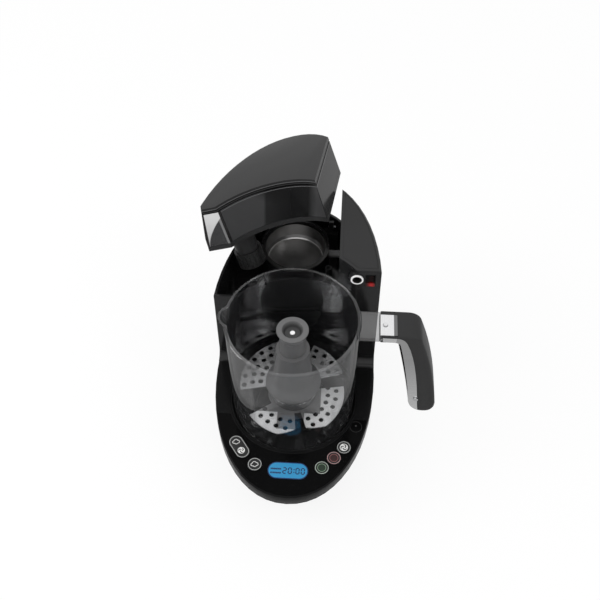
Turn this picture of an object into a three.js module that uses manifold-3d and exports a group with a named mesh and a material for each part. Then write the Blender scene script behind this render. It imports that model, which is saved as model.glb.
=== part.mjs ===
// A baby food steamer blender: an oval base with a sloping pedestal, a clear bowl that sits in the deck,
// and a rear tower with a boiler bay, a steam column and a water tank that is lifted out and tilted.
// Millimetres, +Z up, origin on the floor under the bowl axis. The control panel looks towards -Y and the
// handle points towards +X.
import * as THREE from 'three';
import { mergeVertices } from 'three/addons/utils/BufferGeometryUtils.js';
import Module from 'manifold-3d';

const wasm = await Module();
wasm.setup();

// General
const gap = 0.3; // clearance between pieces that touch
const overrun = 20; // how far a cutting solid passes its work
const plan_sides = 56;
const round_sides = 32;
const small_sides = 16;
const lid_round_steps = 3;

// Base
const base_half_width = 86;
const oval_power = 2.08; // 2 is a true ellipse, more is fuller between its tips
const base_front_length = 148; // from the middle of the oval to the front tip
const base_rear_length = 156;
const oval_middle_y = 30;
const deck_height = 70;
const band_height = 15;
const deck_edge_radius = 1.5;
const pedestal_inset_front = 27; // how far the foot of the base draws in
const pedestal_inset_side = 12;
const pedestal_inset_rear = 8;
const base_wall = 2.6;
const deck_thickness = 6;
const foot_proud = 1.5;
const cover_thickness = 4.5;
const cover_edge_bevel = 1;
const foot_radius = 9;
const foot_height = 4;
const front_foot_x = 36;
const front_foot_y = -48;
const rear_foot_x = 44;
const rear_foot_y = 108;

// Bowl seat in the deck
const bowl_radius = 65; // outside of the bowl at its rim
const bowl_foot_radius = 64.2;
const seat_clearance = 1.9;
const seat_depth = 16;
const seat_wall = 1.8;
const seat_flange_width = 5;
const seat_flange_thickness = 2;
const seat_bore_radius = 13.6;

// Control panel
const panel_thickness = 2.4;
const panel_inset = 1.6;
const panel_rear_y = -26;
const panel_seat_lip = 4;
const display_length = 41;
const display_width = 18.4;
const display_y = -88.7;
const key_radius = 7.4;
const key_clearance = 0.35;
const key_proud = 0.5;
const key_height = 2.6;
const key_inner_x = 34;
const key_inner_y = -83.7;
const key_middle_x = 45.8;
const key_middle_y = -72;
const key_outer_x = 55.6;
const key_outer_y = -59.3;
const oval_key_x = 48;
const oval_key_y = -70;
const display_module_height = 5;
const board_thickness = 1.6;
const board_length = 64;
const board_width = 18;

// Bowl
const bowl_height = 145; // from its floor to its rim
const bowl_wall = 2.8;
const bowl_floor_thickness = 3;
const rim_bead = 0.8;
const rim_band = 3;
const tube_outer_radius = 11;
const tube_wall = 2.5;
const tube_height = 90; // above the bowl's floor
const tube_flare_height = 6;
const tube_bell_height = 4;
const bowl_ring_inner_radius = 40;
const bowl_ring_thickness = 2.2;
const bowl_seat_play = 0.5;
const spout_axis_x = 58;
const spout_top_radius = 13.5;
const spout_tip_radius = 1.5;
const spout_drop = 24;

// Handle
const arm_drop = 0.5; // below the bowl's rim
const arm_thickness = 11;
const arm_half_width = 15.8;
const arm_length = 18; // out from the bowl to the black tongue
const arm_edge_radius = 3;
const tongue_length = 17; // from the arm's end to where the grip turns down
const plate_length = 16;
const plate_half_width = 12.2;
const plate_y = -2.4;
const plate_thickness = 1.4;
const screw_head_radius = 2.6;
const screw_head_height = 1;
const grip_half_width = 15.8;
const grip_edge_radius = 3.4;
// The grip's side profile: reaches outwards from the tongue's end, drops below the arm's top
const grip_top_rise = 1;
const grip_corner_start_reach = 10;
const grip_corner_reach = 24.8;
const grip_corner_drop = 11;
const grip_outer_bulge_reach = 40.3;
const grip_outer_bulge_drop = 54.5;
const grip_heel_reach = 47.8;
const grip_heel_drop = 114;
const grip_bottom_reach = 36;
const grip_bottom_drop = 127.7;
const grip_toe_reach = 20.2;
const grip_toe_drop = 114.5;
const grip_inner_bulge_reach = 12.5;
const grip_inner_bulge_drop = 62.5;
const grip_inner_corner_reach = 1.2;
const grip_inner_corner_drop = 13;

// The line that parts the grip's bright inner side from the rest
const strip_top_drop = 2.4;
const strip_knee_reach = 6.5;
const strip_knee_drop = 2.8;
const strip_shoulder_reach = 9.8;
const strip_shoulder_drop = 10;
const strip_bulge_reach = 24.5;
const strip_bulge_drop = 43;
const strip_bottom_reach = 32.3;
const strip_screw_reach = 26.8;
const strip_screw_drop = 103.5;

// Blade
const hub_rise = 38; // above the bowl's tube
const hub_flare_radius = 15.8;
const hub_neck_radius = 13;
const hub_flare_height = 10;
const hub_cup_depth = 5;
const hub_cup_radius = 10.5;
const collar_rise = 7; // above the bowl's tube
const collar_radius = 17;
const collar_thickness = 4;
const skirt_rise = 40; // above the bowl's floor
const skirt_radius = 29;
const hub_waist_radius = 20.3;
const hub_waist_rise = 13; // above the skirt
const drum_radius = 24;
const drum_clearance = 1.2; // over the bowl's floor
const hub_wall = 2.4;
const pin_radius = 2.4;
const sheet_thickness = 1.4;
const sheet_hole_radius = 2.8;
const sheet_inner_radius = 27;
const upper_sheet_rise = 34; // above the bowl's floor
const upper_left_reach = 56;
const upper_left_outer_row = 51.5;
const upper_left_middle_row = 43;
const upper_left_inner_row = 34.5;
const upper_right_reach = 53.5;
const upper_right_outer_row = 48;
const upper_right_inner_row = 39.5;
const lower_sheet_rise = 18;
const lower_reach = 54;
const lower_tip_reach = 46;
const lower_outer_row = 45.5;
const lower_inner_row = 36.8;

// Drive
const spindle_radius = 4;
const spindle_rise = 2.5; // above the bowl's tube
const coupling_radius = 12;
const coupling_height = 5;
const coupling_teeth = 6;
const motor_radius = 31;
const motor_stand = 3; // over the bottom cover
const bracket_thickness = 5.6;
const bracket_half_width = 38;

// Tower
const tower_draft = 1.5;
const tower_wall = 2.6;
const shoulder_y = 50.5; // flat front faces beside the hollow front
const tower_hollow_radius = 78;
const bay_rim_rise = 102; // above the deck
const bay_depth = 42; // from the rim down to the bay's floor
const bay_floor_thickness = 3;
const column_rise = 49; // from the bay's rim up to the column's top
const column_left_x = 42.3;
const column_edge_bevel = 2;
const column_cap_thickness = 2;
const column_cap_inset = 3.2;
const cove_radius = 10;
const boss_radius = 3.8;
const boss_hole_radius = 1.4;
const boss_hole_depth = 10;
const left_boss_x = -73.6;
const left_boss_y = 98;
const left_boss_height = 14; // above the bay's floor
const right_boss_x = 31.3;
const right_boss_y = 101;
const right_boss_height = 36;

// Boiler
const boiler_x = -5.5;
const boiler_y = 129.5;
const dish_rim_radius = 34.5;
const dish_rim_width = 2;
const dish_rim_drop = 5; // below the bay's rim
const dish_depth = 20;
const dish_wall_radius = 32.4; // inside of its upright wall
const dish_floor_radius = 29.5;
const dish_corner_height = 4;
const dish_wall = 1.6;
const boiler_wall = 2.2;
const boiler_radius = 36.5;
const element_ring_radius = 21;
const element_tube_radius = 3.2;
const guard_height = 4.4;

// Steam outlet and lid interlock
const steam_x = 60.4;
const steam_drop = 13; // below the column's top
const nozzle_radius = 7.6;
const nozzle_bore_radius = 3;
const nozzle_length = 15;
const gasket_radius = 6.3;
const gasket_thickness = 2.6;
const duct_radius = 4.2;
const duct_wall = 1;
const interlock_left_x = 68.6;
const interlock_right_x = 78.6;
const interlock_drop = 6; // below the column's top
const interlock_height = 17;
const interlock_depth = 13;
const plunger_height = 5;
const plunger_length = 9;
const plunger_proud = 0.4;
const spring_radius = 1.9;
const spring_wire_radius = 0.35;
const spring_turns = 5;

// Rear catch for the tank
const catch_x = 32;
const catch_y = 164;
const catch_width = 5.4;
const catch_thickness = 3.4;
const catch_height = 41; // above the bay's floor
const catch_sink = 12; // how far the tongue stands in its block
const catch_block_half_width = 8;
const catch_block_half_length = 5;
const catch_block_height = 26;
const catch_pin_radius = 1.2;
const catch_pin_length = 8;

// Tank
const tank_seat_gap = 0.5;
const tank_side_gap = 0.6; // between the tank's flat side and the steam column
const tank_wall = 2.4;
const tank_base_thickness = 5;
const tank_lid_thickness = 5.5;
const tank_draft = 4; // how far its outer walls draw in by the top, past the tower's own draft
const tank_lid_radius = 3;
const tank_corner_width = 5.2; // cut off its front left corner at the top, across
const tank_corner_length = 15; // and to the rear
const tank_corner_height = 21; // how far down the cut runs out
const tank_lip_gap = 1.2;
const tank_plug_depth = 5;
const window_x = -57;
const window_y = 74;
const neck_x = -56;
const neck_y = 78.8;
const neck_radius = 12.4;
const neck_hold = 5.5; // how far the neck stands in the cap
const neck_wall = 2;
const cap_radius = 14.8;
const cap_length = 18;
const cap_ribs = 20;
const cap_rib_depth = 0.8;
const cap_wall = 2;
const cap_hole_radius = 5;
const valve_ball_radius = 6;
const seat_pad_height = 3.7;
const seat_pad_radius = 12;
const seat_pad_hole_radius = 7;

// Where the lifted tank is held: its turn from the seated place, about the valve ball, and its travel
const tank_turn_axis = new THREE.Vector3(-0.59, -0.793, -0.15).normalize();
const tank_turn_degrees = 23.5;
const tank_lift = new THREE.Vector3(4.8, 26.6, 32.4);

// Power cord gland
const gland_x = 28;
const gland_z = 28;
const gland_radius = 7;
const gland_bore_radius = 3.4;
const gland_length = 16;

const deck_z = deck_height;
const cover_z = foot_proud;
const shell_bottom_z = cover_z + cover_thickness + gap;
const seat_radius = bowl_foot_radius + seat_clearance;
const seat_floor_z = deck_z - seat_depth;
const tower_bottom_z = deck_z + gap;
const bowl_floor_z = seat_floor_z + bowl_seat_play + bowl_ring_thickness + gap + bowl_floor_thickness;
const bowl_rim_z = bowl_floor_z + bowl_height;
const tube_top_z = bowl_floor_z + tube_height;
const arm_top_z = bowl_rim_z - arm_drop;
const arm_end_x = bowl_radius + arm_length;
const tongue_end_x = arm_end_x + tongue_length;
const tongue_top_z = arm_top_z + grip_top_rise;
const hub_top_z = tube_top_z + hub_rise;
const collar_z = tube_top_z + collar_rise;
const skirt_z = bowl_floor_z + skirt_rise;
const drum_bottom_z = bowl_floor_z + drum_clearance;
const upper_sheet_z = bowl_floor_z + upper_sheet_rise;
const lower_sheet_z = bowl_floor_z + lower_sheet_rise;
const spindle_top_z = tube_top_z + spindle_rise;
const motor_bottom_z = cover_z + cover_thickness + motor_stand;
const motor_top_z = seat_floor_z - seat_wall - gap * 2 - bracket_thickness;
const bay_rim_z = deck_z + bay_rim_rise;
const bay_floor_z = bay_rim_z - bay_depth;
const column_top_z = bay_rim_z + column_rise;
const dish_rim_z = bay_rim_z - dish_rim_drop;
const steam_z = column_top_z - steam_drop;
const interlock_top_z = column_top_z - interlock_drop;
const interlock_bottom_z = interlock_top_z - interlock_height;
const catch_top_z = bay_floor_z + catch_height;
const tank_bottom_z = bay_rim_z + tank_seat_gap;
const cap_bottom_z = bay_floor_z + gap + seat_pad_height;
const tank_right_x = column_left_x - tank_side_gap;

// Solids from three.js shapes

function solidOf(geometry) {
  const plain = geometry.clone();
  plain.deleteAttribute('normal');
  plain.deleteAttribute('uv');
  const merged = mergeVertices(plain, 1e-4);
  const mesh = new wasm.Mesh({
    numProp: 3,
    vertProperties: new Float32Array(merged.attributes.position.array),
    triVerts: new Uint32Array(merged.index.array),
  });
  return new wasm.Manifold(mesh);
}

function geometryOf(solid) {
  const mesh = solid.getMesh();
  const geometry = new THREE.BufferGeometry();
  geometry.setAttribute('position', new THREE.BufferAttribute(new Float32Array(mesh.vertProperties), 3));
  geometry.setIndex(new THREE.BufferAttribute(new Uint32Array(mesh.triVerts), 1));
  geometry.computeVertexNormals();
  return geometry;
}

function block(low, high) {
  const size = high.map((value, i) => value - low[i]);
  const box = new THREE.BoxGeometry(...size);
  box.translate((low[0] + high[0]) / 2, (low[1] + high[1]) / 2, (low[2] + high[2]) / 2);
  return solidOf(box);
}

function upright(radius_low, radius_high, x, y, z_low, z_high, sides = round_sides) {
  const cylinder = new THREE.CylinderGeometry(radius_high, radius_low, z_high - z_low, sides);
  cylinder.rotateX(Math.PI / 2);
  cylinder.translate(x, y, (z_low + z_high) / 2);
  return solidOf(cylinder);
}

function lyingY(radius, x, z, y_low, y_high, sides = small_sides) {
  const cylinder = new THREE.CylinderGeometry(radius, radius, y_high - y_low, sides);
  cylinder.translate(x, (y_low + y_high) / 2, z);
  return solidOf(cylinder);
}

// A turned solid about the Z axis from a closed list of [radius, height] points, run anticlockwise
function turned(profile, sides = round_sides) {
  const points = [...profile, profile[0]].map(([r, z]) => new THREE.Vector2(r, z));
  const lathe = new THREE.LatheGeometry(points, sides);
  lathe.rotateX(Math.PI / 2);
  const solid = solidOf(lathe);
  return solid.volume() > 0 ? solid : solidOf(flipped(lathe));
}

function flipped(geometry) {
  const copy = mergeVertices(geometry.clone());
  const index = copy.index.array;
  for (let i = 0; i < index.length; i += 3) {
    [index[i], index[i + 1]] = [index[i + 1], index[i]];
  }
  return copy;
}

function prism(points, z_low, z_high, sides = small_sides) {
  const shape = points instanceof THREE.Shape ? points : new THREE.Shape(points);
  const options = { depth: z_high - z_low, bevelEnabled: false, curveSegments: sides };
  const body = new THREE.ExtrudeGeometry(shape, options);
  body.translate(0, 0, z_low);
  return solidOf(body);
}

// A skin through rings of points of equal count, closed by a fan at each end
function loft(rings) {
  const count = rings[0].length;
  const positions = [];
  for (const ring of rings) {
    for (const p of ring) {
      positions.push(p.x, p.y, p.z);
    }
  }
  const faces = [];
  for (let k = 0; k + 1 < rings.length; k += 1) {
    for (let i = 0; i < count; i += 1) {
      const j = (i + 1) % count;
      const low = k * count;
      const high = low + count;
      faces.push(low + i, low + j, high + j, low + i, high + j, high + i);
    }
  }
  for (const k of [0, rings.length - 1]) {
    const middle = rings[k].reduce((sum, p) => sum.add(p), new THREE.Vector3()).divideScalar(count);
    const tip = positions.length / 3;
    positions.push(middle.x, middle.y, middle.z);
    for (let i = 0; i < count; i += 1) {
      const j = (i + 1) % count;
      faces.push(tip, ...(k === 0 ? [k * count + j, k * count + i] : [k * count + i, k * count + j]));
    }
  }
  const geometry = new THREE.BufferGeometry();
  geometry.setAttribute('position', new THREE.Float32BufferAttribute(positions, 3));
  geometry.setIndex(faces);
  return solidOf(geometry);
}

// A stadium between two points
function stadium(x1, y1, x2, y2, radius) {
  const along = Math.atan2(y2 - y1, x2 - x1);
  const shape = new THREE.Shape();
  shape.absarc(x2, y2, radius, along - Math.PI / 2, along + Math.PI / 2, false);
  shape.absarc(x1, y1, radius, along + Math.PI / 2, along + Math.PI * 1.5, false);
  return shape;
}

// The oval plan, drawn in by an inset at the sides, the front and the rear
function fuller(share) {
  return Math.sign(share) * Math.abs(share) ** (2 / oval_power);
}

function ovalHalfWidth(y, inset) {
  const reach = (y < oval_middle_y ? base_front_length : base_rear_length) - inset;
  const along = Math.abs(y - oval_middle_y) / reach;
  return (base_half_width - inset) * (1 - along ** oval_power) ** (1 / oval_power);
}

function oval(z, inset_side, inset_front = inset_side, inset_rear = inset_side) {
  const ring = [];
  for (let i = 0; i < plan_sides; i += 1) {
    const turn = (i / plan_sides) * 2 * Math.PI;
    const reach = Math.sin(turn) < 0 ? base_front_length - inset_front : base_rear_length - inset_rear;
    const x = (base_half_width - inset_side) * fuller(Math.cos(turn));
    ring.push(new THREE.Vector3(x, oval_middle_y + reach * fuller(Math.sin(turn)), z));
  }
  return ring;
}

function pedestalFoot(z, inset) {
  return oval(z, pedestal_inset_side + inset, pedestal_inset_front + inset, pedestal_inset_rear + inset);
}

// How far the tower has drawn in at a height
function draftAt(z) {
  return (tower_draft * (z - tower_bottom_z)) / (column_top_z - tower_bottom_z);
}

// The tower's form: the oval behind the flat shoulders, hollowed round the bowl, drawn in by inset
function towerForm(inset, z_low, z_high) {
  const low = oval(z_low, inset + draftAt(z_low));
  const high = oval(z_high, inset + draftAt(z_high));
  const side = base_half_width + overrun;
  const rear = oval_middle_y + base_rear_length + overrun;
  const behind = block([-side, shoulder_y + inset, z_low - overrun], [side, rear, z_high + overrun]);
  const radius = tower_hollow_radius + inset;
  const hollow = upright(radius, radius, 0, 0, z_low - overrun, z_high + overrun, plan_sides);
  return loft([low, high]).intersect(behind).subtract(hollow);
}

function side(solid, x_low, x_high, z_low, z_high) {
  const reach = base_front_length + base_rear_length;
  return solid.intersect(block([x_low, -reach, z_low], [x_high, reach, z_high]));
}

const far = base_half_width + overrun;

// Base

function bottomCover() {
  let cover = loft([pedestalFoot(cover_z, cover_edge_bevel), pedestalFoot(cover_z + cover_thickness, 0)]);
  for (const [x, y] of footPlaces()) {
    const pocket_top = foot_height + gap;
    cover = cover.subtract(upright(
      foot_radius + gap, foot_radius + gap, x, y, cover_z - overrun, pocket_top, small_sides,
    ));
  }
  return cover;
}

function footPlaces() {
  return [
    [-front_foot_x, front_foot_y],
    [front_foot_x, front_foot_y],
    [-rear_foot_x, rear_foot_y],
    [rear_foot_x, rear_foot_y],
  ];
}

function foot(x, y) {
  return upright(foot_radius - foot_proud / 2, foot_radius, x, y, 0, foot_height, small_sides);
}

function baseShell() {
  const knee_z = deck_z - band_height;
  const skin = loft([
    pedestalFoot(shell_bottom_z, 0),
    oval(knee_z, 0),
    oval(deck_z - deck_edge_radius, 0),
    oval(deck_z, deck_edge_radius),
  ]);
  const inside = loft([
    pedestalFoot(shell_bottom_z - gap, base_wall),
    oval(knee_z, base_wall),
    oval(deck_z - deck_thickness, base_wall),
  ]);
  const mouth = seat_radius + seat_wall + gap;
  const opening = upright(mouth, mouth, 0, 0, 0, deck_z + overrun, plan_sides);
  const panel_pocket = panelForm(0, deck_z - panel_thickness - gap, deck_z + overrun);
  let shell = skin.subtract(inside).subtract(opening).subtract(panel_pocket);
  const under_deck_z = deck_z - deck_thickness - gap;
  shell = shell.subtract(displayForm(gap, under_deck_z, deck_z));
  for (const key of keyForms(key_clearance, under_deck_z, deck_z)) {
    shell = shell.subtract(key.solid);
  }
  const cable_way = upright(
    duct_radius * 2, duct_radius * 2, boiler_x, boiler_y, shell_bottom_z, deck_z + overrun, small_sides,
  );
  const rear_y = oval_middle_y + base_rear_length;
  const gland_hole = lyingY(gland_radius / 2 + gap, gland_x, gland_z, rear_y / 2, rear_y + overrun);
  return shell.subtract(cable_way).subtract(gland_hole);
}

// The cup in the deck that holds the bowl, with a flange under the deck
function bowlSeat() {
  const outer = seat_radius + seat_wall;
  const flange_top = deck_z - deck_thickness - gap;
  return turned([
    [seat_bore_radius, seat_floor_z - seat_wall],
    [outer, seat_floor_z - seat_wall],
    [outer, flange_top - seat_flange_thickness],
    [outer + seat_flange_width, flange_top - seat_flange_thickness],
    [outer + seat_flange_width, flange_top],
    [outer, flange_top],
    [outer, deck_z],
    [seat_radius, deck_z],
    [seat_radius, seat_floor_z],
    [seat_bore_radius, seat_floor_z],
  ], plan_sides);
}

function panelForm(shrink, z_low, z_high) {
  const inset = panel_inset + shrink;
  const seat_edge = seat_radius + panel_seat_lip + shrink;
  const behind = block(
    [-far, panel_rear_y - shrink, z_low - overrun], [far, far + base_rear_length, z_high + overrun],
  );
  const plate = loft([oval(z_low, inset), oval(z_high, inset)]);
  const hole = upright(seat_edge, seat_edge, 0, 0, z_low - overrun, z_high + overrun, plan_sides);
  return plate.subtract(behind).subtract(hole);
}

function displayForm(grow, z_low, z_high) {
  const reach = (display_length - display_width) / 2;
  return prism(stadium(-reach, display_y, reach, display_y, display_width / 2 + grow), z_low, z_high);
}

function keyForms(grow, z_low, z_high) {
  const round_keys = [
    ['key_steam', -key_inner_x, key_inner_y],
    ['key_start', key_inner_x, key_inner_y],
    ['key_stop', key_middle_x, key_middle_y],
    ['key_blend', key_outer_x, key_outer_y],
  ];
  const keys = round_keys.map(([name, x, y]) => ({
    name,
    solid: upright(key_radius + grow, key_radius + grow, x, y, z_low, z_high, small_sides),
  }));
  const oval_shape = stadium(-oval_key_x, oval_key_y, -key_outer_x, key_outer_y, key_radius + grow);
  keys.push({ name: 'key_steam_and_blend', solid: prism(oval_shape, z_low, z_high, small_sides / 2) });
  return keys;
}

function controlPanel() {
  let panel = panelForm(gap, deck_z - panel_thickness, deck_z);
  panel = panel.subtract(displayForm(gap, deck_z - overrun, deck_z + overrun));
  for (const key of keyForms(key_clearance, deck_z - overrun, deck_z + overrun)) {
    panel = panel.subtract(key.solid);
  }
  return panel;
}

function displayModule() {
  const top = deck_z - panel_thickness - gap;
  return displayForm(0, top - display_module_height, top);
}

function controlBoard() {
  const top = deck_z - panel_thickness - display_module_height - gap * 2;
  const low = [-board_length / 2, display_y - board_width / 2, top - board_thickness];
  return block(low, [board_length / 2, display_y + board_width / 2, top]);
}

// Drive

function motor() {
  const can = upright(motor_radius, motor_radius, 0, 0, motor_bottom_z, motor_top_z);
  const through = upright(spindle_radius + gap, spindle_radius + gap, 0, 0, 0, deck_z, small_sides);
  return can.subtract(through);
}

function motorBracket() {
  const low_z = motor_top_z + gap;
  const high_z = seat_floor_z - seat_wall - gap;
  const low = [-bracket_half_width, -motor_radius, low_z];
  const plate = block(low, [bracket_half_width, motor_radius, high_z]);
  return plate.subtract(upright(seat_bore_radius, seat_bore_radius, 0, 0, 0, deck_z, small_sides));
}

function driveSpindle() {
  const low_z = motor_bottom_z + gap;
  return upright(spindle_radius, spindle_radius, 0, 0, low_z, spindle_top_z, small_sides);
}

function driveCoupling() {
  const low_z = seat_floor_z;
  const high_z = low_z + coupling_height;
  const core = coupling_radius - coupling_height / 2;
  let coupling = upright(core, core, 0, 0, low_z, high_z, small_sides);
  for (let i = 0; i < coupling_teeth; i += 1) {
    const turn = (i / coupling_teeth) * 360;
    const tooth = block([0, -coupling_height / 4, low_z], [coupling_radius, coupling_height / 4, high_z]);
    coupling = coupling.add(tooth.rotate([0, 0, turn]));
  }
  const bore = spindle_radius + gap;
  return coupling.subtract(upright(bore, bore, 0, 0, 0, deck_z, small_sides));
}

// Bowl

function glassBowl() {
  const foot_z = bowl_floor_z - bowl_floor_thickness;
  const rim_z = bowl_rim_z;
  const inner_rim = bowl_radius - bowl_wall;
  const inner_foot = bowl_foot_radius - bowl_wall;
  const tube_inner = tube_outer_radius - tube_wall;
  const bell = seat_bore_radius + gap;
  const bell_z = bowl_floor_z + tube_bell_height;
  const bowl = turned([
    [bell, foot_z],
    [bowl_foot_radius - bowl_floor_thickness, foot_z],
    [bowl_foot_radius, bowl_floor_z],
    [bowl_radius, rim_z - rim_band],
    [bowl_radius + rim_bead, rim_z - rim_band / 2],
    [bowl_radius, rim_z],
    [inner_rim, rim_z],
    [inner_foot, bowl_floor_z + bowl_floor_thickness],
    [inner_foot - bowl_floor_thickness, bowl_floor_z],
    [bell + tube_wall + tube_flare_height, bowl_floor_z],
    [bell + tube_wall, bowl_floor_z + tube_flare_height / 2],
    [tube_outer_radius, bell_z + tube_flare_height],
    [tube_outer_radius, tube_top_z],
    [tube_inner, tube_top_z],
    [tube_inner, bell_z + tube_flare_height],
    [bell, bell_z],
  ], plan_sides);
  const spout = upright(spout_tip_radius, spout_top_radius, -spout_axis_x, 0, rim_z - spout_drop, rim_z);
  const inner_top = spout_top_radius - bowl_wall * 0.8;
  const spout_inside = upright(
    0, inner_top * (spout_drop + overrun) / spout_drop, -spout_axis_x, 0,
    rim_z - spout_drop + bowl_wall, rim_z + overrun,
  );
  const inside_low = bowl_floor_z + bowl_floor_thickness;
  const inside = upright(inner_foot, inner_rim, 0, 0, inside_low, rim_z + overrun, plan_sides);
  return bowl.add(spout.subtract(inside)).subtract(spout_inside);
}

function bowlRing() {
  const top = bowl_floor_z - bowl_floor_thickness - gap;
  const outer = bowl_foot_radius - bowl_floor_thickness;
  const low = top - bowl_ring_thickness;
  return turned([
    [bowl_ring_inner_radius, low],
    [outer, low],
    [outer, top],
    [bowl_ring_inner_radius, top],
  ]);
}

function handleArm() {
  const low_z = arm_top_z - arm_thickness;
  const e = arm_edge_radius;
  const w = arm_half_width;
  const outline = [
    [-w + e, low_z], [w - e, low_z], [w, low_z + e], [w, arm_top_z - e],
    [w - e, arm_top_z], [-w + e, arm_top_z], [-w, arm_top_z - e], [-w, low_z + e],
  ];
  const ringAt = (x) => outline.map(([y, z]) => new THREE.Vector3(x, y, z));
  const rings = [ringAt(bowl_radius / 2), ringAt(arm_end_x)];
  const clear = bowl_radius + rim_bead + gap;
  return loft(rings).subtract(upright(clear, clear, 0, 0, 0, bowl_rim_z + overrun, plan_sides));
}

// The plate lies in a pocket in the black tongue's top, nearer its front edge
function plateForm(grow) {
  const start_x = arm_end_x + (tongue_length - plate_length) / 2;
  return block(
    [start_x - grow, plate_y - plate_half_width - grow, tongue_top_z - plate_thickness - grow],
    [start_x + plate_length + grow, plate_y + plate_half_width + grow, tongue_top_z + grow],
  );
}

function plateScrew() {
  const z = tongue_top_z + gap;
  const x = arm_end_x + screw_head_radius * 2;
  return upright(
    screw_head_radius, screw_head_radius * 0.8, x, plate_y, z, z + screw_head_height, small_sides,
  );
}

// A point of the grip's side, by its reach out from the tongue's end and its drop below the arm's top
function gripPoint(reach, drop) {
  return [tongue_end_x + reach, arm_top_z - drop];
}

// The grip's side profile, laid out in X and Z
function gripProfile() {
  const profile = new THREE.Shape();
  profile.moveTo(...gripPoint(gap - tongue_length, -grip_top_rise));
  profile.lineTo(...gripPoint(grip_corner_start_reach, -grip_top_rise));
  profile.quadraticCurveTo(
    ...gripPoint(grip_corner_reach - grip_edge_radius, -grip_top_rise),
    ...gripPoint(grip_corner_reach, grip_corner_drop),
  );
  profile.quadraticCurveTo(
    ...gripPoint(grip_outer_bulge_reach, grip_outer_bulge_drop),
    ...gripPoint(grip_heel_reach, grip_heel_drop),
  );
  profile.quadraticCurveTo(
    ...gripPoint(grip_heel_reach, grip_bottom_drop),
    ...gripPoint(grip_bottom_reach, grip_bottom_drop),
  );
  profile.quadraticCurveTo(
    ...gripPoint(grip_toe_reach + grip_edge_radius, grip_bottom_drop),
    ...gripPoint(grip_toe_reach, grip_toe_drop),
  );
  profile.quadraticCurveTo(
    ...gripPoint(grip_inner_bulge_reach, grip_inner_bulge_drop),
    ...gripPoint(grip_inner_corner_reach, grip_inner_corner_drop),
  );
  profile.quadraticCurveTo(
    ...gripPoint(0, arm_thickness),
    ...gripPoint(-grip_edge_radius, arm_thickness),
  );
  profile.lineTo(...gripPoint(gap - tongue_length, arm_thickness));
  return profile;
}

// All that lies on the bowl's side of the line between the bright strip and the rest of the grip
function stripRegion(shift) {
  const region = new THREE.Shape();
  region.moveTo(...gripPoint(-tongue_length - overrun, strip_top_drop - shift));
  region.lineTo(...gripPoint(0, strip_top_drop - shift));
  region.quadraticCurveTo(
    ...gripPoint(strip_knee_reach + shift, strip_knee_drop - shift),
    ...gripPoint(strip_shoulder_reach + shift, strip_shoulder_drop - shift),
  );
  region.quadraticCurveTo(
    ...gripPoint(strip_bulge_reach + shift, strip_bulge_drop - shift),
    ...gripPoint(strip_bottom_reach + shift, grip_bottom_drop + overrun),
  );
  region.lineTo(...gripPoint(-tongue_length - overrun, grip_bottom_drop + overrun));
  return region;
}

// A shape drawn in X and Z, thickened both ways along Y, with rounded edges where a radius is given
function standing(shape, half_width, radius = 0, sides = small_sides / 2) {
  const body = new THREE.ExtrudeGeometry(shape, {
    depth: (half_width - radius) * 2,
    curveSegments: sides,
    bevelEnabled: radius > 0,
    bevelThickness: radius,
    bevelSize: radius,
    bevelOffset: -radius,
    bevelSegments: 3,
  });
  body.translate(0, 0, radius - half_width);
  body.rotateX(Math.PI / 2);
  return solidOf(body);
}

function gripWhole() {
  return standing(gripProfile(), grip_half_width, grip_edge_radius);
}

function handleGrip() {
  const cover = gripWhole().subtract(standing(stripRegion(gap), grip_half_width + overrun));
  return cover.subtract(plateForm(gap));
}

function handleStrip() {
  return gripWhole().intersect(standing(stripRegion(0), grip_half_width + overrun));
}

function stripScrew() {
  const [x, z] = gripPoint(strip_screw_reach, strip_screw_drop);
  const y = -grip_half_width - gap;
  return lyingY(screw_head_radius, x, z, y - screw_head_height, y);
}

// Blade

function bladeHub() {
  const bore = tube_outer_radius + gap * 3;
  const drum_inner = drum_radius - hub_wall;
  const top = hub_top_z - hub_flare_height;
  return turned([
    [drum_inner, drum_bottom_z],
    [drum_radius, drum_bottom_z],
    [drum_radius, skirt_z - collar_thickness],
    [skirt_radius, skirt_z],
    [skirt_radius - hub_wall / 2, skirt_z + hub_wall],
    [(skirt_radius + hub_waist_radius) / 2 - hub_wall / 2, skirt_z + hub_waist_rise / 2],
    [hub_waist_radius, skirt_z + hub_waist_rise],
    [collar_radius, collar_z - collar_thickness],
    [collar_radius, collar_z],
    [hub_neck_radius, collar_z + gap],
    [hub_neck_radius, top],
    [0, top],
    [0, tube_top_z + collar_thickness],
    [bore, tube_top_z + collar_thickness - gap],
    [bore, skirt_z + collar_thickness],
    [drum_inner, skirt_z],
  ]);
}

function hubCap() {
  const low = hub_top_z - hub_flare_height + gap;
  const cup_z = hub_top_z - hub_cup_depth;
  return turned([
    [pin_radius + gap, low],
    [hub_neck_radius, low],
    [hub_neck_radius, low + hub_flare_height / 4],
    [hub_flare_radius, hub_top_z - hub_wall / 2],
    [hub_flare_radius, hub_top_z],
    [hub_cup_radius, hub_top_z],
    [hub_cup_radius * 0.7, cup_z],
    [pin_radius + gap, cup_z],
  ]);
}

function hubPin() {
  const low = hub_top_z - hub_flare_height + gap;
  return upright(pin_radius, pin_radius, 0, 0, low, hub_top_z - hub_cup_depth + gap, small_sides);
}

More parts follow.
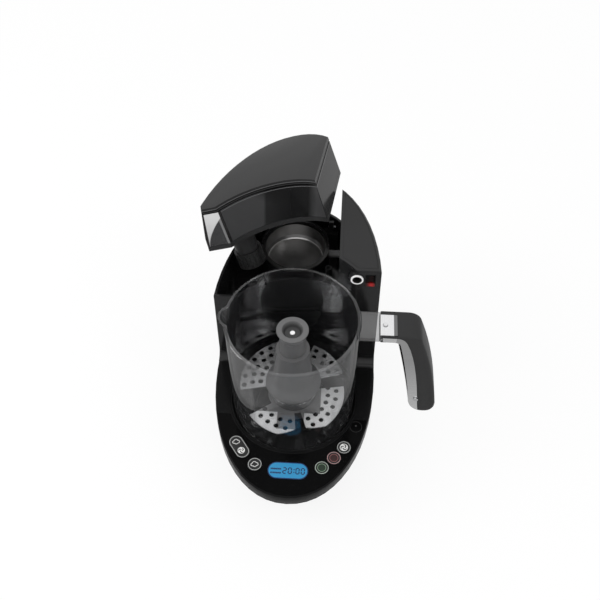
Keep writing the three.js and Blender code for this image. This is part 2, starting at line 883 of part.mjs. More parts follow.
// Wings of a perforated sheet: the bearing and reach of each outline point, and the rows of holes by their
// radius, first bearing, last bearing and count. Bearings are in degrees from +X.
const upper_wings = [
  {
    outline: [[104, upper_left_reach], [150, upper_left_reach], [192, upper_left_reach]],
    rows: [
      [upper_left_outer_row, 110, 186, 7],
      [upper_left_middle_row, 114, 182, 6],
      [upper_left_inner_row, 119, 180, 5],
    ],
  },
  {
    outline: [[16, upper_right_reach], [42, upper_right_reach], [69, upper_right_reach]],
    rows: [
      [upper_right_outer_row, 22, 63, 4],
      [upper_right_inner_row, 24, 60, 3],
    ],
  },
];
const lower_wings = [
  {
    outline: [[216, lower_reach], [237, lower_reach], [256, lower_reach], [276, lower_tip_reach]],
    rows: [
      [lower_outer_row, 225, 263, 4],
      [lower_inner_row, 219, 268, 4],
    ],
  },
  {
    outline: [[-70, lower_tip_reach], [-48, lower_reach], [-18, lower_reach], [10, lower_reach]],
    rows: [
      [lower_outer_row, -60, 4, 6],
      [lower_inner_row, -62, 10, 6],
    ],
  },
];

function perforatedWings(low, wings) {
  const high = low + sheet_thickness;
  const at = (bearing, radius) => {
    const turn = THREE.MathUtils.degToRad(bearing);
    return new THREE.Vector2(radius * Math.cos(turn), radius * Math.sin(turn));
  };
  let sheet = upright(sheet_inner_radius, sheet_inner_radius, 0, 0, low, high);
  for (const { outline } of wings) {
    const shape = new THREE.Shape();
    shape.moveTo(0, 0);
    for (let k = 0; k < outline.length; k += 1) {
      const [bearing, radius] = outline[k];
      if (k > 0) {
        const [before, radius_before] = outline[k - 1];
        for (const share of [0.25, 0.5, 0.75]) {
          const lerp = THREE.MathUtils.lerp;
          const p = at(lerp(before, bearing, share), lerp(radius_before, radius, share));
          shape.lineTo(p.x, p.y);
        }
      }
      const p = at(bearing, radius);
      shape.lineTo(p.x, p.y);
    }
    sheet = sheet.add(prism(shape, low, high));
  }
  for (const { rows } of wings) {
    for (const [radius, first, last, count] of rows) {
      for (let i = 0; i < count; i += 1) {
        const p = at(THREE.MathUtils.lerp(first, last, i / (count - 1)), radius);
        sheet = sheet.subtract(upright(
          sheet_hole_radius, sheet_hole_radius, p.x, p.y, low - overrun, high + overrun, small_sides / 2,
        ));
      }
    }
  }
  const ring_inner = drum_radius + gap;
  return sheet.subtract(upright(ring_inner, ring_inner, 0, 0, low - overrun, high + overrun));
}

// Tower

function columnForm(inset, z_low, z_high) {
  return side(towerForm(inset, z_low, z_high), column_left_x + inset, far, z_low, z_high);
}

function towerShell() {
  const over = bay_rim_z + overrun * 3;
  const outside = towerForm(0, tower_bottom_z, bay_rim_z);
  const column = columnForm(0, bay_rim_z - overrun, column_top_z - column_edge_bevel);
  const column_top = loftedTop();
  let shell = outside.add(column).add(column_top);
  const bay = side(
    towerForm(tower_wall, bay_floor_z, bay_rim_z), -far, column_left_x, bay_floor_z, over,
  );
  const mouth_low = bay_rim_z - overrun;
  const bay_mouth = side(towerForm(tower_wall, mouth_low, over), -far, column_left_x, mouth_low, over);
  shell = shell.subtract(bay).subtract(bay_mouth);
  const column_ceiling = column_top_z - column_cap_thickness - gap - tower_wall;
  shell = shell.subtract(side(
    towerForm(tower_wall, tower_bottom_z - overrun, column_ceiling),
    column_left_x + tower_wall, far, tower_bottom_z - overrun, column_ceiling,
  ));
  const under_ceiling = bay_floor_z - bay_floor_thickness;
  shell = shell.subtract(side(
    towerForm(tower_wall, tower_bottom_z - overrun, under_ceiling),
    -far, far, tower_bottom_z - overrun, under_ceiling,
  ));
  const cap_seat_z = column_top_z - column_cap_thickness - gap;
  shell = shell.subtract(columnCapForm(0, cap_seat_z, column_top_z + overrun));
  shell = shell.add(coves());
  for (const [x, y, top] of bossPlaces()) {
    const boss = upright(boss_radius, boss_radius, x, y, bay_floor_z - gap, top, small_sides);
    const hole = upright(
      boss_hole_radius, boss_hole_radius, x, y, top - boss_hole_depth, top + overrun, small_sides / 2,
    );
    shell = shell.add(boss.intersect(towerForm(gap, bay_floor_z - gap, bay_rim_z))).subtract(hole);
  }
  const nozzle_end = shoulder_y + nozzle_length;
  const nozzle_hole = lyingY(
    nozzle_radius + gap, steam_x, steam_z, shoulder_y - overrun, nozzle_end + gap, round_sides,
  );
  const pocket = block(
    [interlock_left_x, shoulder_y - overrun, interlock_bottom_z],
    [interlock_right_x, shoulder_y + interlock_depth, interlock_top_z],
  );
  const pocket_walls = block(
    [interlock_left_x - tower_wall / 2, shoulder_y + tower_wall / 2, interlock_bottom_z - tower_wall / 2],
    [interlock_right_x + tower_wall / 2, shoulder_y + interlock_depth + tower_wall, column_ceiling + gap],
  );
  const within = columnForm(tower_wall / 2, bay_rim_z, column_top_z - tower_wall);
  shell = shell.add(pocket_walls.intersect(within)).subtract(nozzle_hole).subtract(pocket);
  const duct_hole = lyingX(
    duct_radius + gap, boiler_y, ductHeight(), column_left_x - overrun / 2, column_left_x + overrun / 2,
  );
  return shell.subtract(duct_hole);
}

function lyingX(radius, y, z, x_low, x_high, sides = small_sides) {
  const cylinder = new THREE.CylinderGeometry(radius, radius, x_high - x_low, sides);
  cylinder.rotateZ(Math.PI / 2);
  cylinder.translate((x_low + x_high) / 2, y, z);
  return solidOf(cylinder);
}

function ductHeight() {
  return dish_rim_z - dish_depth / 2;
}

// The bevelled top edge of the steam column
function loftedTop() {
  const low = column_top_z - column_edge_bevel;
  const form = loft([oval(low, draftAt(low)), oval(column_top_z, tower_draft + column_edge_bevel)]);
  const reach = base_front_length + base_rear_length;
  const behind = block([column_left_x, shoulder_y, low - overrun], [far, reach, column_top_z + overrun]);
  const hollow = upright(
    tower_hollow_radius, tower_hollow_radius, 0, 0, low - overrun, column_top_z + overrun, plan_sides,
  );
  return form.intersect(behind).subtract(hollow);
}

function columnCapForm(shrink, z_low, z_high) {
  const inset = column_cap_inset + shrink;
  return side(towerForm(inset, z_low, z_high), column_left_x + inset, far, z_low, z_high);
}

function columnCap() {
  return columnCapForm(gap, column_top_z - column_cap_thickness, column_top_z);
}

// Hollow fillets where the flat shoulders meet the deck
function coves() {
  const r = cove_radius;
  const y = shoulder_y;
  const z = tower_bottom_z;
  const strip = block([-far, y - r, z], [far, y + tower_wall, z + r]);
  const roller = lyingXWide(r, y - r, z + r);
  const inside = upright(tower_hollow_radius, tower_hollow_radius, 0, 0, 0, column_top_z, plan_sides);
  const form = loft([oval(z, 0), oval(z + r, 0)]);
  return strip.subtract(roller).intersect(form).subtract(inside);
}

function lyingXWide(radius, y, z) {
  return lyingX(radius, y, z, -far - overrun, far + overrun, round_sides);
}

function bossPlaces() {
  return [
    [left_boss_x, left_boss_y, bay_floor_z + left_boss_height],
    [right_boss_x, right_boss_y, bay_floor_z + right_boss_height],
  ];
}

// Boiler

function boilerHousing() {
  const low = bay_floor_z + gap;
  const top = dish_rim_z - dish_wall - gap;
  const inner = boiler_radius - boiler_wall;
  const wall = turned([
    [inner, low],
    [boiler_radius, low],
    [boiler_radius, top],
    [inner, top],
  ]).translate([boiler_x, boiler_y, 0]);
  const end_x = boiler_x + boiler_radius + overrun;
  const hole = lyingX(duct_radius + gap, boiler_y, ductHeight(), boiler_x, end_x);
  return wall.subtract(hole);
}

function boilerDish() {
  const rim_outer = dish_rim_radius + dish_rim_width;
  const floor_z = dish_rim_z - dish_depth;
  const corner_z = floor_z + dish_corner_height;
  const outside = dish_wall_radius + dish_wall;
  return turned([
    [0, floor_z - dish_wall],
    [dish_floor_radius, floor_z - dish_wall],
    [outside, corner_z - dish_wall / 2],
    [outside, dish_rim_z - dish_wall],
    [rim_outer, dish_rim_z - dish_wall],
    [rim_outer, dish_rim_z],
    [dish_wall_radius, dish_rim_z],
    [dish_wall_radius, corner_z],
    [dish_floor_radius, floor_z],
    [0, floor_z],
  ]).translate([boiler_x, boiler_y, 0]);
}

function heatingElement() {
  const z = dish_rim_z - dish_depth - dish_wall - element_tube_radius - gap;
  const turn = new THREE.TorusGeometry(element_ring_radius, element_tube_radius, 8, 24);
  turn.translate(boiler_x, boiler_y, z);
  return solidOf(turn);
}

// A raised wall round the rear of the dish
function boilerGuard() {
  const inner = dish_rim_radius + gap;
  const outer = dish_rim_radius + dish_rim_width;
  const low = dish_rim_z + gap;
  const ring = turned([
    [inner, low],
    [outer, low],
    [outer, low + guard_height],
    [inner, low + guard_height],
  ]);
  const rear = block([-outer - gap, 0, low - gap], [outer + gap, outer + gap, low + guard_height + gap]);
  return ring.intersect(rear).translate([boiler_x, boiler_y, 0]);
}

// Steam outlet

function steamNozzle() {
  const end = shoulder_y + nozzle_length;
  const before = shoulder_y - overrun;
  const body = lyingY(nozzle_radius, steam_x, steam_z, shoulder_y - gap, end, round_sides);
  const bore = lyingY(nozzle_bore_radius, steam_x, steam_z, before, end + overrun);
  const seat_end = shoulder_y + gasket_thickness / 2 + gap;
  const seat = lyingY(gasket_radius + gap, steam_x, steam_z, before, seat_end, round_sides);
  return body.subtract(bore).subtract(seat);
}

function steamGasket() {
  const y = shoulder_y + gasket_thickness / 2;
  const ring = lyingY(gasket_radius, steam_x, steam_z, y - gasket_thickness, y, round_sides);
  return ring.subtract(lyingY(nozzle_bore_radius + gap * 3, steam_x, steam_z, y - overrun, y + overrun));
}

function steamDuct() {
  const start_x = boiler_x + dish_rim_radius;
  const wall_x = column_left_x + tower_wall;
  const middle_x = wall_x + duct_radius * 3;
  const z = ductHeight();
  const end_y = shoulder_y + nozzle_length + gap;
  const bend = duct_radius * 3;
  const route = new THREE.CatmullRomCurve3([
    new THREE.Vector3(start_x, boiler_y, z),
    new THREE.Vector3(wall_x, boiler_y, z),
    new THREE.Vector3(wall_x + duct_radius * 1.2, boiler_y, z),
    new THREE.Vector3(middle_x, boiler_y - bend / 2, z + bend / 3),
    new THREE.Vector3((middle_x + steam_x) / 2, boiler_y - bend * 2, (z + steam_z) / 2),
    new THREE.Vector3(steam_x, end_y + bend, steam_z),
    new THREE.Vector3(steam_x, end_y, steam_z),
  ], false, 'centripetal');
  const ringOf = (radius) => {
    const shape = new THREE.Shape();
    shape.absarc(0, 0, radius, 0, 2 * Math.PI, false);
    return shape;
  };
  const shape = ringOf(duct_radius);
  shape.holes.push(ringOf(duct_radius - duct_wall));
  return solidOf(new THREE.ExtrudeGeometry(shape, { steps: 14, curveSegments: 5, extrudePath: route }));
}

function interlockPlunger() {
  const low_z = interlock_bottom_z + gap;
  return block(
    [interlock_left_x + gap, shoulder_y - plunger_proud, low_z],
    [interlock_right_x - gap, shoulder_y - plunger_proud + plunger_length, low_z + plunger_height],
  );
}

function interlockCover() {
  const low_z = interlock_bottom_z + gap * 2 + plunger_height;
  return block(
    [interlock_left_x + gap, shoulder_y + gap, low_z],
    [interlock_right_x - gap, shoulder_y + interlock_depth - gap, interlock_top_z - gap],
  );
}

function interlockSpring() {
  const start_y = shoulder_y - plunger_proud + plunger_length + gap;
  const end_y = shoulder_y + interlock_depth - gap;
  const x = (interlock_left_x + interlock_right_x) / 2;
  const z = interlock_bottom_z + gap + plunger_height / 2;
  const reach = end_y - start_y - spring_wire_radius * 2;
  const points = [];
  const steps = spring_turns * 6;
  for (let i = 0; i <= steps; i += 1) {
    const turn = (i / steps) * spring_turns * 2 * Math.PI;
    points.push(new THREE.Vector3(
      x + spring_radius * Math.cos(turn),
      start_y + spring_wire_radius + (i / steps) * reach,
      z + spring_radius * Math.sin(turn),
    ));
  }
  const wire = new THREE.Shape();
  wire.absarc(0, 0, spring_wire_radius, 0, 2 * Math.PI, false);
  const path = new THREE.CatmullRomCurve3(points);
  return solidOf(new THREE.ExtrudeGeometry(wire, { steps, curveSegments: 3, extrudePath: path }));
}

// Rear catch for the tank

function catchTongueForm(grow) {
  const half_width = catch_width / 2 + grow;
  const half_length = catch_thickness / 2 + grow;
  return block(
    [catch_x - half_width, catch_y - half_length, catchBlockTop() - catch_sink - grow],
    [catch_x + half_width, catch_y + half_length, catch_top_z + grow],
  );
}

function catchBlockTop() {
  return bay_floor_z + gap + catch_block_height;
}

function catchPinForm(grow) {
  const z = (catchBlockTop() + catch_top_z) / 2;
  const x_low = catch_x - catch_width / 2 - gap - grow;
  return lyingX(catch_pin_radius + grow, catch_y, z, x_low, x_low + catch_pin_length + grow * 2);
}

function catchBlock() {
  const body = block(
    [catch_x - catch_block_half_width, catch_y - catch_block_half_length, bay_floor_z + gap],
    [catch_x + catch_block_half_width, catch_y + catch_block_half_length, catchBlockTop()],
  );
  const room = towerForm(tower_wall + gap, bay_floor_z, bay_rim_z);
  return body.intersect(room).subtract(catchTongueForm(gap));
}

// Tank, drawn in its seated place

function tankForm(inset, z_low, z_high) {
  const rings = [z_low, z_high].map((z) => oval(z, inset + tankDraftAt(z)));
  const within = side(towerForm(inset, z_low, z_high), -far, tank_right_x - inset, z_low, z_high);
  return within.intersect(loft(rings)).subtract(tankCorner(inset, z_low, z_high));
}

// What is cut off the tank's front left corner, less and less towards the bottom
function tankCorner(inset, z_low, z_high) {
  const edge_x = -ovalHalfWidth(shoulder_y, tankDraftAt(column_top_z));
  const width = tank_corner_width;
  const length = tank_corner_length;
  const slant = Math.hypot(width, length);
  const lean = (width * length) / slant / tank_corner_height;
  return loft([z_low, z_high].map((z) => {
    const shift = ((inset - lean * (column_top_z - z)) * slant) / (width + length);
    const right = new THREE.Vector3(edge_x + shift + width * 2, shoulder_y + shift - length, z);
    const rear = new THREE.Vector3(edge_x + shift - width, shoulder_y + shift + length * 2, z);
    return [right, rear, new THREE.Vector3(rear.x, right.y, z)];
  }));
}

function tankDraftAt(z) {
  return draftAt(z) + (tank_draft * (z - tank_bottom_z)) / (column_top_z - tank_bottom_z);
}

function tankShell() {
  const low = tank_bottom_z + tank_base_thickness + gap;
  const high = column_top_z - tank_lid_thickness - tank_lip_gap;
  const wall = tankForm(0, low, high).subtract(tankForm(tank_wall, low - overrun, high + overrun));
  const cut = windowForm(gap / 2, low - overrun, high + overrun);
  return wall.subtract(cut);
}

function windowForm(grow, z_low, z_high) {
  return block([-far, shoulder_y - overrun, z_low], [window_x + grow, window_y + grow, z_high]);
}

function tankWindow() {
  const low = tank_bottom_z + tank_base_thickness + gap;
  const high = column_top_z - tank_lid_thickness - tank_lip_gap;
  const wall = tankForm(0, low, high).subtract(tankForm(tank_wall, low - overrun, high + overrun));
  return wall.intersect(windowForm(-gap / 2, low - overrun, high + overrun));
}

function tankLid() {
  const low = column_top_z - tank_lid_thickness;
  const knee = column_top_z - tank_lid_radius;
  const plate = tankForm(0, low, knee);
  const rings = [];
  for (let k = 0; k <= lid_round_steps; k += 1) {
    const turn = (k / lid_round_steps) * (Math.PI / 2);
    const z = knee + tank_lid_radius * Math.sin(turn);
    rings.push(oval(z, tankDraftAt(z) + tank_lid_radius * (1 - Math.cos(turn))));
  }
  const top = loft(rings).intersect(tankForm(0, knee, column_top_z));
  const plug_low = low - tank_lip_gap - tank_plug_depth;
  const plug_outer = tankForm(tank_wall + gap, plug_low, low + gap);
  const plug_inner = tankForm(tank_wall * 2 + gap, plug_low - overrun, low + gap);
  return plate.add(top).add(plug_outer.subtract(plug_inner));
}

function tankBase() {
  const plate = tankForm(0, tank_bottom_z, tank_bottom_z + tank_base_thickness);
  const neck_low = cap_bottom_z + cap_length - neck_hold;
  const neck = upright(neck_radius, neck_radius, neck_x, neck_y, neck_low, tank_bottom_z + gap);
  const bore_radius = neck_radius - neck_wall;
  const bore_top = tank_bottom_z + overrun;
  const bore = upright(bore_radius, bore_radius, neck_x, neck_y, neck_low - overrun, bore_top);
  return plate.add(neck).subtract(bore);
}

function tankCap() {
  const low = cap_bottom_z;
  const top = low + cap_length;
  let cap = upright(cap_radius, cap_radius, neck_x, neck_y, low, top);
  const inner = neck_radius + gap;
  const inside = upright(inner, inner, neck_x, neck_y, low + cap_wall, top + overrun);
  cap = cap.subtract(inside);
  for (let i = 0; i < cap_ribs; i += 1) {
    const turn = (i / cap_ribs) * 2 * Math.PI;
    const rib_x = neck_x + cap_radius * Math.cos(turn);
    const rib_y = neck_y + cap_radius * Math.sin(turn);
    cap = cap.subtract(upright(
      cap_rib_depth, cap_rib_depth, rib_x, rib_y,
      low + cap_wall, top + overrun, 6,
    ));
  }
  const hole = upright(
    cap_hole_radius, cap_hole_radius, neck_x, neck_y, low - overrun, top, small_sides,
  );
  return cap.subtract(hole);
}

function ballHeight() {
  const sink = Math.sqrt((valve_ball_radius + gap) ** 2 - cap_hole_radius ** 2);
  return cap_bottom_z + cap_wall + sink;
}

function valveBall() {
  const ball = new THREE.SphereGeometry(valve_ball_radius, 14, 10);
  ball.translate(neck_x, neck_y, ballHeight());
  return solidOf(ball);
}

// The pad in the bay that the tank's cap stands over
function valveSeat() {
  const low = bay_floor_z + gap;
  const high = low + seat_pad_height - gap;
  return turned([
    [seat_pad_hole_radius, low],
    [seat_pad_radius, low],
    [seat_pad_radius, high],
    [seat_pad_hole_radius, high],
  ]).translate([neck_x, neck_y, 0]);
}

function cordGland() {
  const rear_y = oval_middle_y + base_rear_length;
  const x = gland_x;
  const end_y = rear_y + gland_length / 2;
  const stem = lyingY(gland_radius / 2, x, gland_z, end_y - gland_length * 2, end_y - gland_length / 2);
  const head = lyingY(gland_radius, x, gland_z, end_y - gland_length / 2, end_y);
  const bore = lyingY(gland_bore_radius, x, gland_z, rear_y / 2, end_y + overrun);
  return stem.add(head).subtract(bore);
}

// Materials

function finish(color, roughness, metalness = 0, opacity = 1) {
  const transparent = opacity < 1;
  return new THREE.MeshStandardMaterial({ color, roughness, metalness, opacity, transparent });
}

const finishes = {
  black_gloss: finish(0x0b0b0c, 0.12),
  black_satin: finish(0x141415, 0.4),
  grey_plastic: finish(0x6a6a6a, 0.35),
  steel: finish(0xc8c8c8, 0.2, 1),
  dull_steel: finish(0x8d8d8d, 0.35, 1),
  smoky_clear: finish(0x6e7072, 0.05, 0, 0.35),
  clear: finish(0xe8eef0, 0.05, 0, 0.3),
  white_rubber: finish(0xf2f2f2, 0.6),
  black_rubber: finish(0x1a1a1a, 0.8),
  red_plastic: finish(0xb01818, 0.35),
  blue_display: finish(0x2a9fd8, 0.3),
  green_board: finish(0x1d5a34, 0.5),
  white_plastic: finish(0xf4f4f4, 0.3),
};

const model = new THREE.Group();

function place(name, solid, slot, group = model) {
  const mesh = new THREE.Mesh(geometryOf(solid), finishes[slot].clone());
  mesh.name = name;
  group.add(mesh);
  return mesh;
}

place('bottom_cover', bottomCover(), 'black_satin');
place('base_shell', baseShell(), 'black_gloss');
place('bowl_seat', bowlSeat(), 'black_gloss');
place('control_panel', controlPanel(), 'black_gloss');
place('display_window', displayForm(0, deck_z - panel_thickness, deck_z), 'blue_display');
place('display_module', displayModule(), 'black_satin');
place('control_board', controlBoard(), 'green_board');
const key_low_z = deck_z + key_proud - key_height;
for (const key of keyForms(0, key_low_z, deck_z + key_proud)) {
  place(key.name, key.solid, 'black_satin');
}
for (const [i, [x, y]] of footPlaces().entries()) {
  place(`foot_${i + 1}`, foot(x, y), 'black_rubber');
}
place('cord_gland', cordGland(), 'black_rubber');
place('motor', motor(), 'dull_steel');
place('motor_bracket', motorBracket(), 'dull_steel');
place('drive_spindle', driveSpindle(), 'steel');
place('drive_coupling', driveCoupling(), 'black_satin');

place('tower_shell', towerShell(), 'black_gloss');
place('column_cap', columnCap(), 'black_gloss');
place('boiler_housing', boilerHousing(), 'black_satin');
place('boiler_dish', boilerDish(), 'dull_steel');
place('boiler_guard', boilerGuard(), 'black_gloss');
place('heating_element', heatingElement(), 'dull_steel');
place('steam_nozzle', steamNozzle(), 'black_satin');
place('steam_gasket', steamGasket(), 'white_rubber');
place('steam_duct', steamDuct(), 'grey_plastic');
place('interlock_plunger', interlockPlunger(), 'red_plastic');
place('interlock_cover', interlockCover(), 'smoky_clear');
place('interlock_spring', interlockSpring(), 'steel');
place('catch_block', catchBlock(), 'black_satin');
place('catch_tongue', catchTongueForm(0).subtract(catchPinForm(gap)), 'black_satin');
place('catch_pin', catchPinForm(0), 'steel');
place('valve_seat', valveSeat(), 'black_satin');

place('glass_bowl', glassBowl(), 'smoky_clear');
place('bowl_ring', bowlRing(), 'black_satin');
place('handle_arm', handleArm(), 'smoky_clear');
place('handle_plate', plateForm(0), 'steel');
place('handle_plate_screw', plateScrew(), 'steel');
place('handle_grip', handleGrip(), 'black_gloss');
place('handle_strip', handleStrip(), 'steel');
place('handle_strip_screw', stripScrew(), 'steel');
place('blade_hub', bladeHub(), 'grey_plastic');
place('hub_cap', hubCap(), 'grey_plastic');
place('hub_pin', hubPin(), 'white_plastic');
place('upper_sheet', perforatedWings(upper_sheet_z, upper_wings), 'steel');
place('lower_sheet', perforatedWings(lower_sheet_z, lower_wings), 'steel');

const ball_place = new THREE.Vector3(neck_x, neck_y, ballHeight());
const tank = new THREE.Group();
tank.position.copy(ball_place).add(tank_lift);
tank.quaternion.setFromAxisAngle(tank_turn_axis, THREE.MathUtils.degToRad(tank_turn_degrees));
model.add(tank);

function placeInTank(name, solid, slot) {
  const mesh = place(name, solid, slot, tank);
  mesh.position.copy(ball_place).negate();
}

placeInTank('tank_lid', tankLid(), 'black_gloss');
placeInTank('tank_shell', tankShell(), 'black_gloss');
placeInTank('tank_window', tankWindow(), 'clear');
placeInTank('tank_base', tankBase(), 'black_gloss');
placeInTank('tank_cap', tankCap(), 'black_satin');
placeInTank('valve_ball', valveBall(), 'white_rubber');

export default model;
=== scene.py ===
# Looks for the baby food steamer blender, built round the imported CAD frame. Metres, +Z up.
import math

import bmesh
import bpy
from mathutils import Matrix, Vector


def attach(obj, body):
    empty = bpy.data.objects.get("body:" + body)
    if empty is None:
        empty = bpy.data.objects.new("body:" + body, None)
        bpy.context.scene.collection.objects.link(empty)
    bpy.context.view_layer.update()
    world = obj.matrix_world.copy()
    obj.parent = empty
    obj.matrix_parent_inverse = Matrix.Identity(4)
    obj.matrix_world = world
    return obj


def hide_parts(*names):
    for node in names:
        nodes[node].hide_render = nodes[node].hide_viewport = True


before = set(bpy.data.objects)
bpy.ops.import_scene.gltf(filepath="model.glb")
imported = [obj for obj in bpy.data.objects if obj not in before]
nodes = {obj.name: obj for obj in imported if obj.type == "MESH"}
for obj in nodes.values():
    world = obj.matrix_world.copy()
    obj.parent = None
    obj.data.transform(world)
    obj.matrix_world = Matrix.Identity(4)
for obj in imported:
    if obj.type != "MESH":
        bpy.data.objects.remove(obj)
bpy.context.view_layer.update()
MM = 0.001

# Camera: the pose and lens fitted to the photograph

camera = bpy.data.objects.new("camera", bpy.data.cameras.new("camera"))
bpy.context.scene.collection.objects.link(camera)
camera.data.lens = 50
camera.data.sensor_width = 36
camera.data.clip_start = 0.01
camera.data.clip_end = 50
camera_place = (0.038670, -0.483312, 0.829700)
camera_right = Vector((0.998156, 0.060612, -0.003193))
camera_up = Vector((-0.045021, 0.774636, 0.630803))
camera_back = Vector((0.040708, -0.629496, 0.775936))
camera_turn = Matrix((camera_right, camera_up, camera_back)).transposed().to_4x4()
camera.matrix_world = Matrix.Translation(camera_place) @ camera_turn
bpy.context.scene.camera = camera


# Shader numbers and colours with ordinary arithmetic

class Wire:
    """An output socket that takes part in sums."""

    def __init__(self, graph, socket):
        self.graph, self.socket = graph, socket

    def _math(self, operation, other, swap=False):
        pair = (other, self) if swap else (self, other)
        made = self.graph.node("ShaderNodeMath", {"operation": operation}, {0: pair[0], 1: pair[1]})
        return made[0]

    def __add__(self, other):
        return self._math("ADD", other)

    def __radd__(self, other):
        return self._math("ADD", other)

    def __sub__(self, other):
        return self._math("SUBTRACT", other)

    def __rsub__(self, other):
        return self._math("SUBTRACT", other, swap=True)

    def __mul__(self, other):
        return self._math("MULTIPLY", other)

    def __rmul__(self, other):
        return self._math("MULTIPLY", other)

    def __truediv__(self, other):
        return self._math("DIVIDE", other)

    def __rtruediv__(self, other):
        return self._math("DIVIDE", other, swap=True)

    def __gt__(self, other):
        return self._math("GREATER_THAN", other)

    def __lt__(self, other):
        return self._math("LESS_THAN", other)

    def power(self, other):
        return self._math("POWER", other)

    def least(self, other):
        return self._math("MINIMUM", other)

    def most(self, other):
        return self._math("MAXIMUM", other)

    def absolute(self):
        return self._math("ABSOLUTE", 0)

    def sine(self):
        return self._math("SINE", 0)

    def bearing(self, other):
        """The angle of the point (self, other) round the middle, in radians."""
        return self._math("ARCTAN2", other, swap=True)


class Outputs:
    """The output sockets of a node, by name or by number."""

    def __init__(self, graph, made):
        self.graph, self.made = graph, made

    def __getitem__(self, key):
        return Wire(self.graph, self.made.outputs[key])


class Graph:
    """A node tree under construction."""

    def __init__(self, tree):
        self.tree = tree

    def node(self, kind, settings=None, inputs=None):
        made = self.tree.nodes.new(kind)
        for key, value in (settings or {}).items():
            setattr(made, key, value)
        for key, value in (inputs or {}).items():
            self.join(made.inputs[key], value)
        return Outputs(self, made)

    def join(self, socket, value):
        if isinstance(value, Wire):
            self.tree.links.new(value.socket, socket)
        elif isinstance(value, tuple) and len(value) == 3 and socket.type == "RGBA":
            socket.default_value = (*value, 1)
        else:
            socket.default_value = value

    def split(self, where):
        made = self.node("ShaderNodeSeparateXYZ", None, {"Vector": where})
        return made["X"], made["Y"], made["Z"]

    def mix(self, share, first, second):
        """The first shader where share is 0 and the second where it is 1."""
        return self.node("ShaderNodeMixShader", None, {0: share, 1: first, 2: second})[0]

    def seen_directly(self):
        """1 for what the camera sees, also through clear pieces, 0 for other light."""
        path = self.node("ShaderNodeLightPath")
        return path["Is Camera Ray"].most(path["Is Transmission Ray"])


class Look(Graph):
    """A material under construction."""

    def __init__(self, name):
        self.material = bpy.data.materials.new(name)
        self.material.use_nodes = True
        super().__init__(self.material.node_tree)
        self.shader = self.tree.nodes["Principled BSDF"]
        self.output = self.tree.nodes["Material Output"]
        self.coords = self.node("ShaderNodeTexCoord")["Object"]

    def set(self, **inputs):
        for key, value in inputs.items():
            self.join(self.shader.inputs[key.replace("_", " ")], value)

    def surface(self):
        return Wire(self, self.shader.outputs[0])

    def show(self, shader):
        self.join(self.output.inputs["Surface"], shader)

    def noise(self, scale, detail=2.0, rough=0.5, where=None):
        made = self.node("ShaderNodeTexNoise", None, {
            "Vector": where or self.coords, "Scale": scale, "Detail": detail, "Roughness": rough,
        })
        return made["Fac"]

    def stretched(self, x, y, z):
        inputs = {"Vector": self.coords, "Scale": (x, y, z)}
        return self.node("ShaderNodeMapping", None, inputs)["Vector"]

    def blend(self, share, low, high):
        """A colour between two. The node's sockets 6, 7 and 2 are those of its colours."""
        inputs = {0: share, 6: low, 7: high}
        return self.node("ShaderNodeMix", {"data_type": "RGBA"}, inputs)[2]

    def ramp(self, share, low, high):
        """0 at low, 1 at high and even in between."""
        return self.node("ShaderNodeMapRange", {"clamp": True}, {0: share, 1: low, 2: high})[0]

    def millimetres(self):
        return [v * 1000 for v in self.split(self.coords)]

    def away(self, across, along, x, y):
        """How far a point is from x, y on a drawing's two axes."""
        return ((across - x).power(2) + (along - y).power(2)).power(0.5)

    def slab(self, across, along, x, y, half_width, half_height):
        """1 inside an upright rectangle, 0 outside."""
        return ((across - x).absolute() < half_width) * ((along - y).absolute() < half_height)

    def bump(self, height, strength):
        inputs = {"Height": height, "Strength": strength, "Distance": BUMP_DEPTH}
        self.set(Normal=self.node("ShaderNodeBump", None, inputs)["Normal"])

    def mould(self, cloudy, color, rough, grain, sheen, detail):
        """Finishes moulded plastic: slow unevenness in its gloss and a fine surface grain."""
        fine = self.noise(GRAIN_SCALE, detail)
        self.set(
            Base_Color=color,
            Roughness=(cloudy - 0.5) * 0.06 + (fine - 0.5) * 0.05 + rough,
            Specular_IOR_Level=sheen,
        )
        self.bump(self.noise(GRAIN_SCALE, 3.0) + cloudy * 2.0, grain)


BUMP_DEPTH = 0.0002
CLOUD_SCALE = 14.0
GRAIN_SCALE = 900.0
CLEAR_MIRROR = 6.0  # how strongly the sheen on clear plastic mirrors, as an IOR


def scaled(color, factor):
    return tuple(c * factor for c in color)


def moulded(name, color, rough, grain=0.03, lift=1.35, sheen=0.5):
    """Plain moulded plastic, lighter in clouds by the factor lift."""
    look = Look(name)
    cloudy = look.noise(CLOUD_SCALE, 3.0)
    lighter = tuple(min(1.0, c) for c in scaled(color, lift))
    look.mould(cloudy, look.blend(cloudy, color, lighter), rough, grain, sheen, 2.0)
    return look.material


def marked(name, base, rough, marks, grain=0.05, sheen=0.5):
    """Moulded plastic with printed marks: each is a function of the look and its millimetres
    that returns its share of the surface, and a colour."""
    look = Look(name)
    place = look.millimetres()
    cloudy = look.noise(CLOUD_SCALE, 3.0)
    color = look.blend(cloudy, base, scaled(base, 1.35))
    for draw, ink in marks:
        color = look.blend(draw(look, *place), color, ink)
    look.mould(cloudy, color, rough, grain, sheen, 3.0)
    return look.material


